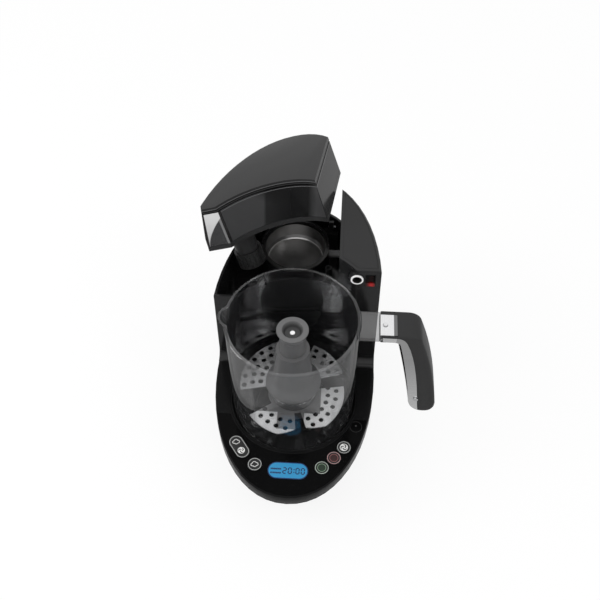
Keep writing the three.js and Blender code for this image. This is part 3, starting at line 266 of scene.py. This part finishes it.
def metal(name, color, rough, stretch, grain=0.05, shade=None, metallic=1.0):
    """Brushed metal with streaks along one way. shade darkens it by place: a function of the
    look and its millimetres that returns 0 for the plain colour and 1 for a fifth of it."""
    look = Look(name)
    streaks = look.noise(1.0, 4.0, 0.6, look.stretched(*stretch))
    cloudy = look.noise(30.0, 3.0)
    shown = look.blend(streaks, scaled(color, 0.82), color)
    if shade is not None:
        shown = look.blend(shade(look, *look.millimetres()), shown, scaled(color, 0.2))
    look.set(
        Base_Color=shown,
        Metallic=metallic,
        Roughness=(streaks - 0.5) * 0.16 + (cloudy - 0.5) * 0.06 + rough,
    )
    look.bump(streaks, grain)
    return look.material


def see_through(name, tint, film, film_color=(0.03, 0.03, 0.031), rough=0.012, streaks=None):
    """Clear plastic: light goes straight on through a tint, under a sheen that mirrors crisply
    and grows towards the edges. film is the sheen's share seen squarely. streaks paints
    reflections on it by place: it scales film as a function of the look and its millimetres."""
    look = Look(name)
    if streaks is not None:
        film = streaks(look, *look.millimetres()) * film
    cloudy = look.noise(40.0, 3.0)
    facing = look.node("ShaderNodeLayerWeight", None, {"Blend": 0.5})["Facing"]
    passed = look.node("ShaderNodeBsdfTransparent", None, {"Color": tint})["BSDF"]
    look.set(
        Base_Color=look.blend(cloudy, film_color, scaled(film_color, 1.15)),
        Roughness=(cloudy - 0.5) * 0.008 + rough,
        IOR=CLEAR_MIRROR,
    )
    share = (facing.power(7.0) + (cloudy - 0.5) * 0.02 + film).least(1.0)
    look.show(look.mix(share, passed, look.surface()))
    return look.material


def bowl_painted_reflections(look, across, along, up):
    """Painted reflections on the bowl: the sheen's share grows towards the front wall, with a
    painted bright upright band at the left, a slim one inside it and another at the right,
    all on the front. Turns are in degrees."""
    turn = across.bearing(along) * (180 / math.pi)
    front = look.ramp(along, 12.0, -22.0)
    band = look.ramp(turn, -154.0, -127.0) * look.ramp(turn, -121.0, -123.5)
    slim = look.ramp((turn + 125.5).absolute(), 1.6, 0.6)
    right = look.ramp((turn + 47.0).absolute(), 1.6, 0.5) * look.ramp(up, 150.0, 110.0)
    return 1.15 + front * 0.3 + band * 1.2 * front + slim * 0.9 * front + right * 1.2 * front


def window_pane(name):
    """The tank's clear front corner: a painted reflection of the sky, a pale grey colour with a
    faint painted glow, up to a curved edge, dim and see-through past it, with a dark left margin
    and a pale right one. Its lines are in millimetres at the photograph's pose of the tank, and
    its sides lean with it."""
    look = Look(name)
    across, along, up = look.millimetres()
    curve = ((up - 209.0) / 31.0).most(0.0).power(1.6) * 12.0 - 89.5
    from_left = across + 94.25 - (240.26 - up) * 0.1313
    from_right = (212.43 - up) * 0.336 - 68.86 - across
    front = (across * -0.1 - along * 0.97 + up * 0.23) > -29.4
    inside = look.ramp(from_left, -0.3, 0.3) * front
    # Painted reflection of the sky, inside the curved edge
    painted_sky = look.ramp(curve - across, -0.3, 0.5) * inside
    edge = (1.0 - inside).least(1.0)
    post = look.ramp(from_right, 2.2, 1.6) * front
    cloudy = look.noise(60.0, 3.0)
    passed = look.node("ShaderNodeBsdfTransparent", None, {"Color": (0.6, 0.6, 0.61)})["BSDF"]
    color = look.blend(cloudy, (0.05, 0.05, 0.052), (0.07, 0.07, 0.072))
    color = look.blend(edge, color, (0.004, 0.004, 0.004))
    color = look.blend(post, color, (0.17, 0.17, 0.172))
    # The painted reflection's colour, lighter upwards, with a faint painted glow
    painted_sky_color = look.blend(look.ramp(up, 212.0, 240.0), (0.4, 0.4, 0.4), (0.56, 0.56, 0.56))
    look.set(
        Base_Color=look.blend(painted_sky, color, painted_sky_color),
        Emission_Color=look.blend(painted_sky, (0.0, 0.0, 0.0), (0.5, 0.5, 0.5)),
        Emission_Strength=0.12,
        Roughness=(cloudy - 0.5) * 0.05 + 0.12,
    )
    share = (painted_sky + edge + post + 0.6 + (cloudy - 0.5) * 0.1).least(1.0)
    look.show(look.mix(share, passed, look.surface()))
    return look.material


# Printed marks, drawn on the deck's across and along axes in millimetres

def ring(x, y, radius, width):
    def draw(look, across, along, _):
        return (look.away(across, along, x, y) - radius).absolute() < width / 2
    return draw


def disc(x, y, radius):
    return lambda look, across, along, _: look.away(across, along, x, y) < radius


def swirl(x, y, radius):
    """Three curved arms inside a disc."""
    def draw(look, across, along, _):
        far = look.away(across, along, x, y)
        turn = (along - y).bearing(across - x)
        return ((turn * 3 + far * 2.2).sine() > 0.1) * (far < radius) * (far > radius * 0.22)
    return draw


def puff(x, y, size, width):
    """The outline of a small cloud of steam, from four lobes that overlap."""
    lobes = ((-0.75, -0.15, 0.55), (-0.15, 0.35, 0.7), (0.6, 0.1, 0.6), (0.05, -0.3, 0.6))
    def draw(look, across, along, _):
        edge = None
        for right, up, radius in lobes:
            reach = look.away(across, along, x + right * size, y + up * size) - radius * size
            edge = reach if edge is None else edge.least(reach)
        return edge.absolute() < width / 2
    return draw


def stadium_line(x1, y1, x2, y2, radius, width):
    """The outline of a bar with round ends."""
    def draw(look, across, along, _):
        length = math.hypot(x2 - x1, y2 - y1)
        right, up = (x2 - x1) / length, (y2 - y1) / length
        run = (across - x1) * right + (along - y1) * up
        beyond = run - run.most(0.0).least(length)
        aside = (along - y1) * right - (across - x1) * up
        return ((beyond.power(2) + aside.power(2)).power(0.5) - radius).absolute() < width / 2
    return draw


def digits(text, x, y, width, height, thick):
    """Seven-segment figures in a row, centred on x, y. The bars are named a to g as usual:
    a to f clockwise from the top, and g in the middle."""
    strokes = {"2": "abged", "0": "abcdef"}
    step, colon_step = width * 1.25, width * 0.55
    def draw(look, across, along, _):
        shown = None
        left = x - (len(text) - 0.55) * width * 1.25 / 2 + width / 2
        half_w, half_h, half_t = width / 2 - thick / 2, height / 2 - thick / 2, thick / 2
        level = (half_w - thick * 0.3, half_t)
        upright = (half_t, half_h / 2 - thick * 0.3)
        places = {
            "a": (0, half_h, level), "g": (0, 0, level), "d": (0, -half_h, level),
            "b": (half_w, half_h / 2, upright), "c": (half_w, -half_h / 2, upright),
            "f": (-half_w, half_h / 2, upright), "e": (-half_w, -half_h / 2, upright),
        }
        dots = [(-width * 0.28, up * height * 0.2, (half_t, half_t)) for up in (-1, 1)]
        for sign in text:
            bars = dots if sign == ":" else [places[k] for k in strokes[sign]]
            for right, up, half in bars:
                bar = look.slab(across, along, left + right, y + up, *half)
                shown = bar if shown is None else shown.most(bar)
            left += colon_step if sign == ":" else step
        return shown
    return draw


def lit(name, color, edge_color, ink, strength):
    """A lit display: a bright field, a dark border, two short label lines and dark figures."""
    look = Look(name)
    across, along, _ = look.millimetres()
    cloudy = look.noise(60.0, 2.0)
    field = look.blend(cloudy, color, scaled(color, 0.9))
    border = stadium_line(*DISPLAY_BAR, 9.1, 1.8)(look, across, along, None)
    shown = look.blend(border, field, edge_color)
    figures = digits("20:00", 6.5, -88.8, 4.3, 7.4, 1.15)(look, across, along, None)
    for y in (-87.2, -91.6):
        line = look.slab(across, along, -12.2, y, 5.4, 0.9)
        figures = figures.most(line * (look.noise(1500.0) > 0.4))
    shown = look.blend(figures, shown, ink)
    look.set(
        Base_Color=shown, Emission_Color=shown, Emission_Strength=strength,
        Roughness=(cloudy - 0.5) * 0.05 + 0.2,
    )
    return look.material


# Painted reflections, painted light, painted shade and painted highlights on the tank,
# at the photograph's pose of it, in millimetres

FACET_EDGE = 101.2  # where the tank's flat right side starts
FRONT_FADE = (122.0, 117.0)  # towards the camera, where bands on the tank's front come in
# Levels along the lifted tank: a painted highlight on the wall under the lid, painted shade in the
# lid's groove and a painted highlight on the lid's rounded edge
WALL_SEAM = 273.9
LID_GROOVE = 278.2
LID_HIGHLIGHT = 279.3


def rise(across, along, up):
    """Millimetres along the lifted tank's own upright."""
    return up * 0.92 - across * 0.31 + along * 0.25


def facet(across, along, up):
    """Millimetres out along the square of the lifted tank's flat right side."""
    return across * 0.95 - along * 0.02 + up * 0.32


def on_facet(look, across, along, up):
    return facet(across, along, up) > FACET_EDGE


def front_painted_reflection(start, full):
    """A painted reflection: a band on the tank's front that fades in from one place across to
    another.
    """
    def draw(look, across, along, _):
        return look.ramp(across, start, full) * look.ramp(along, *FRONT_FADE)
    return draw


# A painted reflection band beside the tank's flat right side
def reflection_beside_facet(look, across, along, up):
    return look.ramp(across, 9.0, 17.0) * (facet(across, along, up) < FACET_EDGE)


def level_line(level, half_width):
    """A line round the lifted tank at one level."""
    return lambda look, across, along, up: (rise(across, along, up) - level).absolute() < half_width


# Other changes of shade by place, in millimetres

def cup_shade(look, across, along, up):
    """The dark inside of the hub's flared cap."""
    return (look.away(across, along, 0, 0) < 10.3) * look.ramp(up, 188.2, 184.6) * 0.85


# The plunger is red in a small disc round one point and near black further out
def red_spot(look, across, along, up):
    return look.ramp(look.away(across, up, 74.6, 200.6), 4.2, 1.0)


# Painted shade: the ring is painted dark near its middle, standing in for the shadow in its bore
def gasket_bore_shade(look, across, along, up):
    return look.away(across, up, 60.4, 208.0) < 4.7


def lower_sheet_shade(look, across, along, up):
    """The lower sheet lies in the hub's shade at the rear, and in a strip at its front."""
    rear = (along > -26.5) * (across < 29.5)
    strip = (across > -15.0) * (across < 13.0) * (along > -46.5)
    return rear.most(strip) * 0.9


def plate_end_shade(look, across, along, up):
    return across > 96.2


def strip_shade(look, across, along, up):
    return look.ramp(up, 85.0, 165.0) * 0.5 * (across > 99.0)


def dish_shade(look, across, along, up):
    """Painted shade in the dish: its floor a little darker than its lip, which stays bright as a
    painted highlight, and its wall dark.
    """
    return (up < 147.25) * 0.36 + look.ramp(up, 147.9, 148.6)


# The places of the keys and the display on the deck

STEAM_KEY = (-34, -83.7)
START_KEY = (34, -83.7)
STOP_KEY = (45.8, -72)
BLEND_KEY = (55.6, -59.3)
DOUBLE_KEY_BAR = (-48, -70, -55.6, -59.3)
DISPLAY_BAR = (-11.3, -88.7, 11.3, -88.7)
KEY_RING = (6.5, 0.62)  # radius and width of a key's outer ring
LAMP_RING = (4.2, 0.5)
LAMP_RADIUS = 4.2

GREY_INK = (0.42, 0.43, 0.42)
WHITE_INK = (0.75, 0.75, 0.74)
BLACK_KEY = (0.002, 0.002, 0.0022)
# The grey of the painted reflection bands on the tank's front
REFLECTION_GREY = (0.045, 0.045, 0.046)
# Painted light: the grey of the tank's flat right side, for how light falls on it
FACET_PAINTED_LIGHT = (0.016, 0.016, 0.0163)
HUB_GREY = (0.1, 0.1, 0.101)


def key(name, *marks):
    return marked(name, BLACK_KEY, 0.3, marks)


LOOKS = {
    "black_gloss": moulded("black_gloss", (0.009, 0.009, 0.0093), 0.12, sheen=0.36),
    "base_gloss": moulded("base_gloss", (0.006, 0.006, 0.0062), 0.14, sheen=0.05),
    "tank_gloss": moulded("tank_gloss", (0.02, 0.02, 0.0203), 0.12, sheen=0.17),
    "grip_gloss": moulded("grip_gloss", (0.03, 0.03, 0.0303), 0.3, sheen=0.05),
    "tank_front": marked("tank_front", (0.004, 0.004, 0.0042), 0.12, [
        # Painted reflections across the front and beside the flat right side, painted light on that
        # side, and a painted highlight just under the lid
        (front_painted_reflection(-8.0, -30.0), (0.014, 0.014, 0.0143)),
        (front_painted_reflection(-33.5, -36.5), REFLECTION_GREY),
        (reflection_beside_facet, REFLECTION_GREY),
        (on_facet, FACET_PAINTED_LIGHT),
        (level_line(WALL_SEAM, 0.35), (0.11, 0.11, 0.112)),
    ], sheen=0.17),
    "tank_lid": marked("tank_lid", (0.018, 0.018, 0.0183), 0.12, [
        # Painted light on the flat right side, painted shade in the groove and a painted highlight
        # above it
        (on_facet, FACET_PAINTED_LIGHT),
        (level_line(LID_GROOVE, 0.5), (0.001, 0.001, 0.001)),
        (level_line(LID_HIGHLIGHT, 0.4), (0.1, 0.1, 0.102)),
    ], sheen=0.17),
    "black_satin": moulded("black_satin", (0.01, 0.01, 0.01), 0.38, 0.06),
    "black_well": moulded("black_well", (0.006, 0.006, 0.0065), 0.3, 0.05),
    "hub_grey": moulded("hub_grey", HUB_GREY, 0.36, 0.05, 1.2),
    "hub_cup": marked("hub_cup", HUB_GREY, 0.36, [(cup_shade, (0.012, 0.012, 0.012))]),
    "duct_grey": moulded("duct_grey", (0.1, 0.1, 0.1), 0.4),
    "white_plastic": moulded("white_plastic", (0.86, 0.86, 0.86), 0.3),
    "white_rubber": moulded("white_rubber", (0.8, 0.8, 0.8), 0.55, 0.08, 1.1),
    "black_rubber": moulded("black_rubber", (0.01, 0.01, 0.01), 0.7, 0.12),
    "red_plastic": marked("red_plastic", (0.03, 0.001, 0.001), 0.28, [
        (red_spot, (0.5, 0.004, 0.004)),
    ]),
    "gasket": marked("gasket", (0.8, 0.8, 0.8), 0.5, [(gasket_bore_shade, (0.006, 0.006, 0.006))]),
    "green_board": moulded("green_board", (0.012, 0.09, 0.035), 0.5),
    "sheet_steel": metal("sheet_steel", (0.5, 0.5, 0.505), 0.22, (60, 900, 60)),
    # The lower sheet is painted near white as a painted reflection of bright light, and painted
    # shade darkens it by place
    "sheet_painted_reflection": metal(
        "sheet_painted_reflection", (0.97, 0.97, 0.97), 0.3, (60, 900, 60),
        metallic=0.35, shade=lower_sheet_shade,
    ),
    "bright_steel": metal("bright_steel", (0.8, 0.8, 0.81), 0.16, (900, 40, 200)),
    "plate_steel": metal(
        "plate_steel", (0.86, 0.86, 0.87), 0.2, (900, 40, 200), shade=plate_end_shade,
    ),
    "strip_steel": metal(
        "strip_steel", (0.98, 0.98, 0.985), 0.14, (40, 40, 500), shade=strip_shade,
    ),
    # Near white, so the unshaded lip shows as a painted highlight; painted shade darkens floor and
    # wall
    "dish_steel": metal(
        "dish_steel", (0.97, 0.96, 0.95), 0.34, (120, 120, 120), 0.03, dish_shade,
    ),
    "motor_steel": metal("motor_steel", (0.35, 0.35, 0.36), 0.4, (200, 200, 30)),
    "smoky": see_through("smoky", (0.95, 0.953, 0.957), 0.085, streaks=bowl_painted_reflections),
    "smoky_arm": see_through(
        "smoky_arm", (0.72, 0.722, 0.725), 0.16, (0.2, 0.2, 0.202), 0.05,
    ),
    "smoky_dark": see_through("smoky_dark", (0.6, 0.58, 0.58), 0.03),
    "window_clear": window_pane("window_clear"),
    "display": lit(
        "display", (0.014, 0.2, 0.4), (0.003, 0.022, 0.08), (0.003, 0.016, 0.06), 0.26,
    ),
    "key_steam": key(
        "key_steam", (ring(*STEAM_KEY, *KEY_RING), GREY_INK),
        (puff(-34, -83.9, 2.9, 0.6), WHITE_INK),
    ),
    "key_start": key(
        "key_start", (ring(*START_KEY, *KEY_RING), (0.4, 0.46, 0.4)),
        (disc(*START_KEY, LAMP_RADIUS), (0.004, 0.018, 0.006)),
        (ring(*START_KEY, *LAMP_RING), (0.2, 0.3, 0.2)),
    ),
    "key_stop": key(
        "key_stop", (ring(*STOP_KEY, *KEY_RING), (0.42, 0.26, 0.26)),
        (disc(*STOP_KEY, LAMP_RADIUS), (0.025, 0.003, 0.003)),
        (ring(*STOP_KEY, *LAMP_RING), (0.28, 0.1, 0.1)),
    ),
    "key_blend": key(
        "key_blend", (ring(*BLEND_KEY, *KEY_RING), GREY_INK),
        (disc(*BLEND_KEY, 4.2), WHITE_INK), (swirl(*BLEND_KEY, 3.4), BLACK_KEY),
    ),
    "key_double": key(
        "key_double", (stadium_line(*DOUBLE_KEY_BAR, *KEY_RING), GREY_INK),
        (puff(-55.4, -59.4, 2.8, 0.6), WHITE_INK),
        (disc(-49.2, -68.9, 3.7), WHITE_INK), (swirl(-49.2, -68.9, 3.0), BLACK_KEY),
    ),
    "panel_print": marked("panel_print", (0.0016, 0.0016, 0.0017), 0.12, [
        (ring(67.4, -34.2, 6.2, 0.5), (0.035, 0.035, 0.035)),
        (disc(67.4, -33.0, 0.9), (0.06, 0.06, 0.06)),
    ], grain=0.02, sheen=0.05),
}

NODE_LOOKS = {
    "bottom_cover": "black_satin", "base_shell": "base_gloss", "bowl_seat": "base_gloss",
    "control_panel": "panel_print", "display_window": "display", "display_module": "black_satin",
    "control_board": "green_board", "key_steam": "key_steam", "key_start": "key_start",
    "key_stop": "key_stop", "key_blend": "key_blend", "key_steam_and_blend": "key_double",
    "foot_1": "black_rubber", "foot_2": "black_rubber", "foot_3": "black_rubber",
    "foot_4": "black_rubber", "cord_gland": "black_rubber", "motor": "motor_steel",
    "motor_bracket": "motor_steel", "drive_spindle": "bright_steel",
    "drive_coupling": "black_satin", "tower_shell": "black_gloss", "column_cap": "black_gloss",
    "boiler_housing": "black_well", "boiler_dish": "dish_steel", "boiler_guard": "black_gloss",
    "heating_element": "motor_steel", "steam_nozzle": "black_well", "steam_gasket": "gasket",
    "steam_duct": "duct_grey", "interlock_plunger": "red_plastic",
    "interlock_cover": "smoky_dark", "interlock_spring": "bright_steel",
    "catch_block": "black_satin", "catch_tongue": "black_well", "catch_pin": "motor_steel",
    "valve_seat": "black_satin", "glass_bowl": "smoky", "bowl_ring": "black_satin",
    "handle_arm": "smoky_arm", "handle_plate": "plate_steel",
    "handle_plate_screw": "bright_steel", "handle_grip": "grip_gloss",
    "handle_strip": "strip_steel", "handle_strip_screw": "bright_steel",
    "blade_hub": "hub_grey", "hub_cap": "hub_cup", "hub_pin": "white_plastic",
    "upper_sheet": "sheet_steel", "lower_sheet": "sheet_painted_reflection", "tank_lid": "tank_lid",
    "tank_shell": "tank_front", "tank_window": "window_clear", "tank_base": "tank_gloss",
    "tank_cap": "black_satin", "valve_ball": "white_rubber",
}


# Smooth shading for every piece but the spring, whose turns stay as modelled

WELD_DISTANCE = 0.00001
SMOOTH_ANGLE = 32


def smoothing(angle):
    """A node group that welds a mesh and shades it smooth across edges flatter than an angle."""
    group = bpy.data.node_groups.new("smoothing", "GeometryNodeTree")
    for way in ("INPUT", "OUTPUT"):
        group.interface.new_socket("Geometry", in_out=way, socket_type="NodeSocketGeometry")
    graph = Graph(group)
    start = graph.node("NodeGroupInput")[0]
    welded = graph.node(
        "GeometryNodeMergeByDistance", None, {"Geometry": start, "Distance": WELD_DISTANCE},
    )[0]
    turn = graph.node("GeometryNodeInputMeshEdgeAngle")[0]
    flat = graph.node(
        "FunctionNodeCompare", {"data_type": "FLOAT", "operation": "LESS_THAN"},
        {0: turn, 1: math.radians(angle)},
    )[0]
    faces = graph.node("GeometryNodeSetShadeSmooth", {"domain": "FACE"}, {"Geometry": welded})[0]
    edges = graph.node(
        "GeometryNodeSetShadeSmooth", {"domain": "EDGE"},
        {"Geometry": faces, "Shade Smooth": flat},
    )[0]
    graph.node("NodeGroupOutput", None, {0: edges})
    return group


smooth_group = smoothing(SMOOTH_ANGLE)


def smooth(thing):
    modifier = thing.modifiers.new("smoothing", "NODES")
    modifier.node_group = smooth_group


for name, look_name in NODE_LOOKS.items():
    node = nodes[name]
    node.data.materials.clear()
    node.data.materials.append(LOOKS[look_name])
    if name != "interlock_spring":
        smooth(node)


# The bowl, turned in fine steps with its pouring spout pushed out of the rim. Millimetres

BOWL_STEPS = 176
BOWL_FLOOR = 60.0
BOWL_RIM = 205.0
BOWL_FOOT_RADIUS = 64.2
BOWL_WALL = 2.8
BOWL_TAPER = 0.8  # how much wider the wall stands at its rim than at its foot
WALL_MIDDLE = 63.6  # tells the wall's inner face from its outer one
WALL_LEAST = 57.0  # what stands nearer to the axis is the floor or the tube
SPOUT_REACH = 58.0
SPOUT_RADIUS = 13.5
SPOUT_TIP_RADIUS = 1.5  # at the cone's lower end
SPOUT_WALL = 2.4
SPOUT_DROP = 24.0
SPOUT_SOFTNESS = 1.6


def bowl_profile():
    """The bowl's section as (radius, height), run once round."""
    height = BOWL_RIM - BOWL_FLOOR
    levels = [0, 20, 45, 70, 95, 110] + [115 + 1.5 * k for k in range(18)]
    inner_foot = BOWL_FOOT_RADIUS - BOWL_WALL
    foot = [
        (13.9, BOWL_FLOOR - 3), (60.6, BOWL_FLOOR - 3), (62.4, BOWL_FLOOR - 2.4),
        (63.7, BOWL_FLOOR - 1.2),
    ]
    outside = [(BOWL_FOOT_RADIUS + BOWL_TAPER * h / height, BOWL_FLOOR + h) for h in levels]
    rim = [
        (65.0, 202.2), (65.55, 202.6), (65.78, 203.4), (65.7, 204.2), (65.2, 204.8),
        (64.5, 205.0), (63.0, 205.0), (62.4, 204.7),
    ]
    inside = [
        (inner_foot + BOWL_TAPER * h / height, BOWL_FLOOR + h) for h in reversed(levels) if h > 3
    ]
    floor_line = [(61.4, 64.5), (60.9, 62.3), (59.8, 60.9), (58.0, 60.0), (22.4, 60.0)]
    bell = [(18.4, 60.9), (16.4, 63.0), (14.6, 66.0), (12.2, 68.8), (11.0, 71.5)]
    tube = [(11.0, 149.4), (10.4, 150.0), (8.9, 150.0), (8.5, 149.4)]
    bell_inside = [(8.5, 71.5), (9.4, 69.0), (12.0, 66.4), (13.9, 63.4)]
    return foot + outside + rim + inside + floor_line + bell + tube + bell_inside


def pull_spout(vertex):
    """Pushes a point of the bowl's wall out to the spout's cone where that lies further out."""
    x, y, z = (c / MM for c in vertex.co)
    radius = math.hypot(x, y)
    if z <= BOWL_RIM - SPOUT_DROP or radius <= WALL_LEAST or x > 0:
        return
    share = (z - (BOWL_RIM - SPOUT_DROP)) / SPOUT_DROP
    wall = SPOUT_WALL if radius < WALL_MIDDLE else 0.0
    cone = SPOUT_TIP_RADIUS + (SPOUT_RADIUS - SPOUT_TIP_RADIUS) * share - wall
    aside = SPOUT_REACH * abs(y) / radius
    if cone <= aside:
        return
    reach = SPOUT_REACH * -x / radius + math.sqrt(cone * cone - aside * aside)
    gain = max(0.0, min(1.0, 0.5 + 0.5 * (reach - radius) / SPOUT_SOFTNESS))
    rounding = SPOUT_SOFTNESS * gain * (1 - gain) * 0.5
    pushed = radius * (1 - gain) + reach * gain + rounding
    if pushed > radius:
        vertex.co.x *= pushed / radius
        vertex.co.y *= pushed / radius


def clear_bowl():
    mesh = bmesh.new()
    corners = [mesh.verts.new((r * MM, 0, z * MM)) for r, z in bowl_profile()]
    edges = [mesh.edges.new((a, b)) for a, b in zip(corners, corners[1:] + corners[:1])]
    bmesh.ops.spin(
        mesh, geom=corners + edges, cent=(0, 0, 0), axis=(0, 0, 1), angle=2 * math.pi,
        steps=BOWL_STEPS, use_merge=True,
    )
    bmesh.ops.remove_doubles(mesh, verts=mesh.verts, dist=0.000001)
    bmesh.ops.recalc_face_normals(mesh, faces=mesh.faces)
    for vertex in mesh.verts:
        pull_spout(vertex)
    data = bpy.data.meshes.new("clear_bowl")
    mesh.to_mesh(data)
    mesh.free()
    data.materials.append(LOOKS["smoky"])
    bowl = bpy.data.objects.new("clear_bowl", data)
    bpy.context.scene.collection.objects.link(bowl)
    smooth(bowl)
    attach(bowl, "bowl")
    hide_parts("glass_bowl")


clear_bowl()


# Light: a bright even dome, two soft boxes and a pale floor

LAMP_TARGET = (0, 0.05, 0.1)
WHITE = (1.0, 1.0, 1.0)
FLOOR_WHITENING = 0.86  # the share of plain white in what the camera sees of the floor
FLOOR_MIRRORED = 0.46  # how bright glossy pieces mirror the floor


def lamp(name, place, width, height, power):
    data = bpy.data.lights.new(name, "AREA")
    data.shape = "RECTANGLE"
    data.size, data.size_y = width, height
    data.energy = power
    thing = bpy.data.objects.new(name, data)
    bpy.context.scene.collection.objects.link(thing)
    thing.location = place
    thing.rotation_mode = "QUATERNION"
    ahead = Vector(LAMP_TARGET) - Vector(place)
    thing.rotation_quaternion = ahead.to_track_quat("-Z", "Y")


def dome():
    """The world: plain white to the camera, and brighter overhead than low down as light."""
    world = bpy.data.worlds.new("world")
    bpy.context.scene.world = world
    world.use_nodes = True
    world.node_tree.nodes.clear()
    sky = Graph(world.node_tree)
    height = sky.split(sky.node("ShaderNodeTexCoord")["Generated"])[2]
    strength = sky.node(
        "ShaderNodeMapRange", None, {0: height, 1: -0.1, 2: 0.75, 3: 0.5, 4: 1.0},
    )[0]
    light = sky.node("ShaderNodeBackground", None, {"Color": WHITE, "Strength": strength})[0]
    plain = sky.node("ShaderNodeBackground", None, {"Color": WHITE, "Strength": 1})[0]
    sky.node("ShaderNodeOutputWorld", None, {0: sky.mix(sky.seen_directly(), light, plain)})


def pale_floor():
    mesh = bmesh.new()
    bmesh.ops.create_grid(mesh, x_segments=1, y_segments=1, size=4)
    data = bpy.data.meshes.new("floor")
    mesh.to_mesh(data)
    mesh.free()
    floor = bpy.data.objects.new("floor", data)
    bpy.context.scene.collection.objects.link(floor)
    look = Look("floor")
    color = look.blend(look.noise(3.0), (0.86, 0.86, 0.86), (0.9, 0.9, 0.9))
    look.set(Base_Color=color, Roughness=0.8)
    seen = look.node("ShaderNodeEmission", None, {"Color": WHITE, "Strength": 1.0})[0]
    mirrored = look.node(
        "ShaderNodeEmission", None, {"Color": WHITE, "Strength": FLOOR_MIRRORED},
    )[0]
    glossy = look.node("ShaderNodeLightPath")["Is Glossy Ray"]
    shown = look.mix(look.seen_directly() * FLOOR_WHITENING, look.surface(), seen)
    look.show(look.mix(glossy, shown, mirrored))
    data.materials.append(look.material)


lamp("soft_left", (-1.3, -0.2, 0.9), 0.7, 1.4, 9)
lamp("soft_right", (1.2, -0.5, 1.2), 0.5, 0.9, 4)
dome()
pale_floor()

bpy.context.scene.view_settings.view_transform = "Standard"
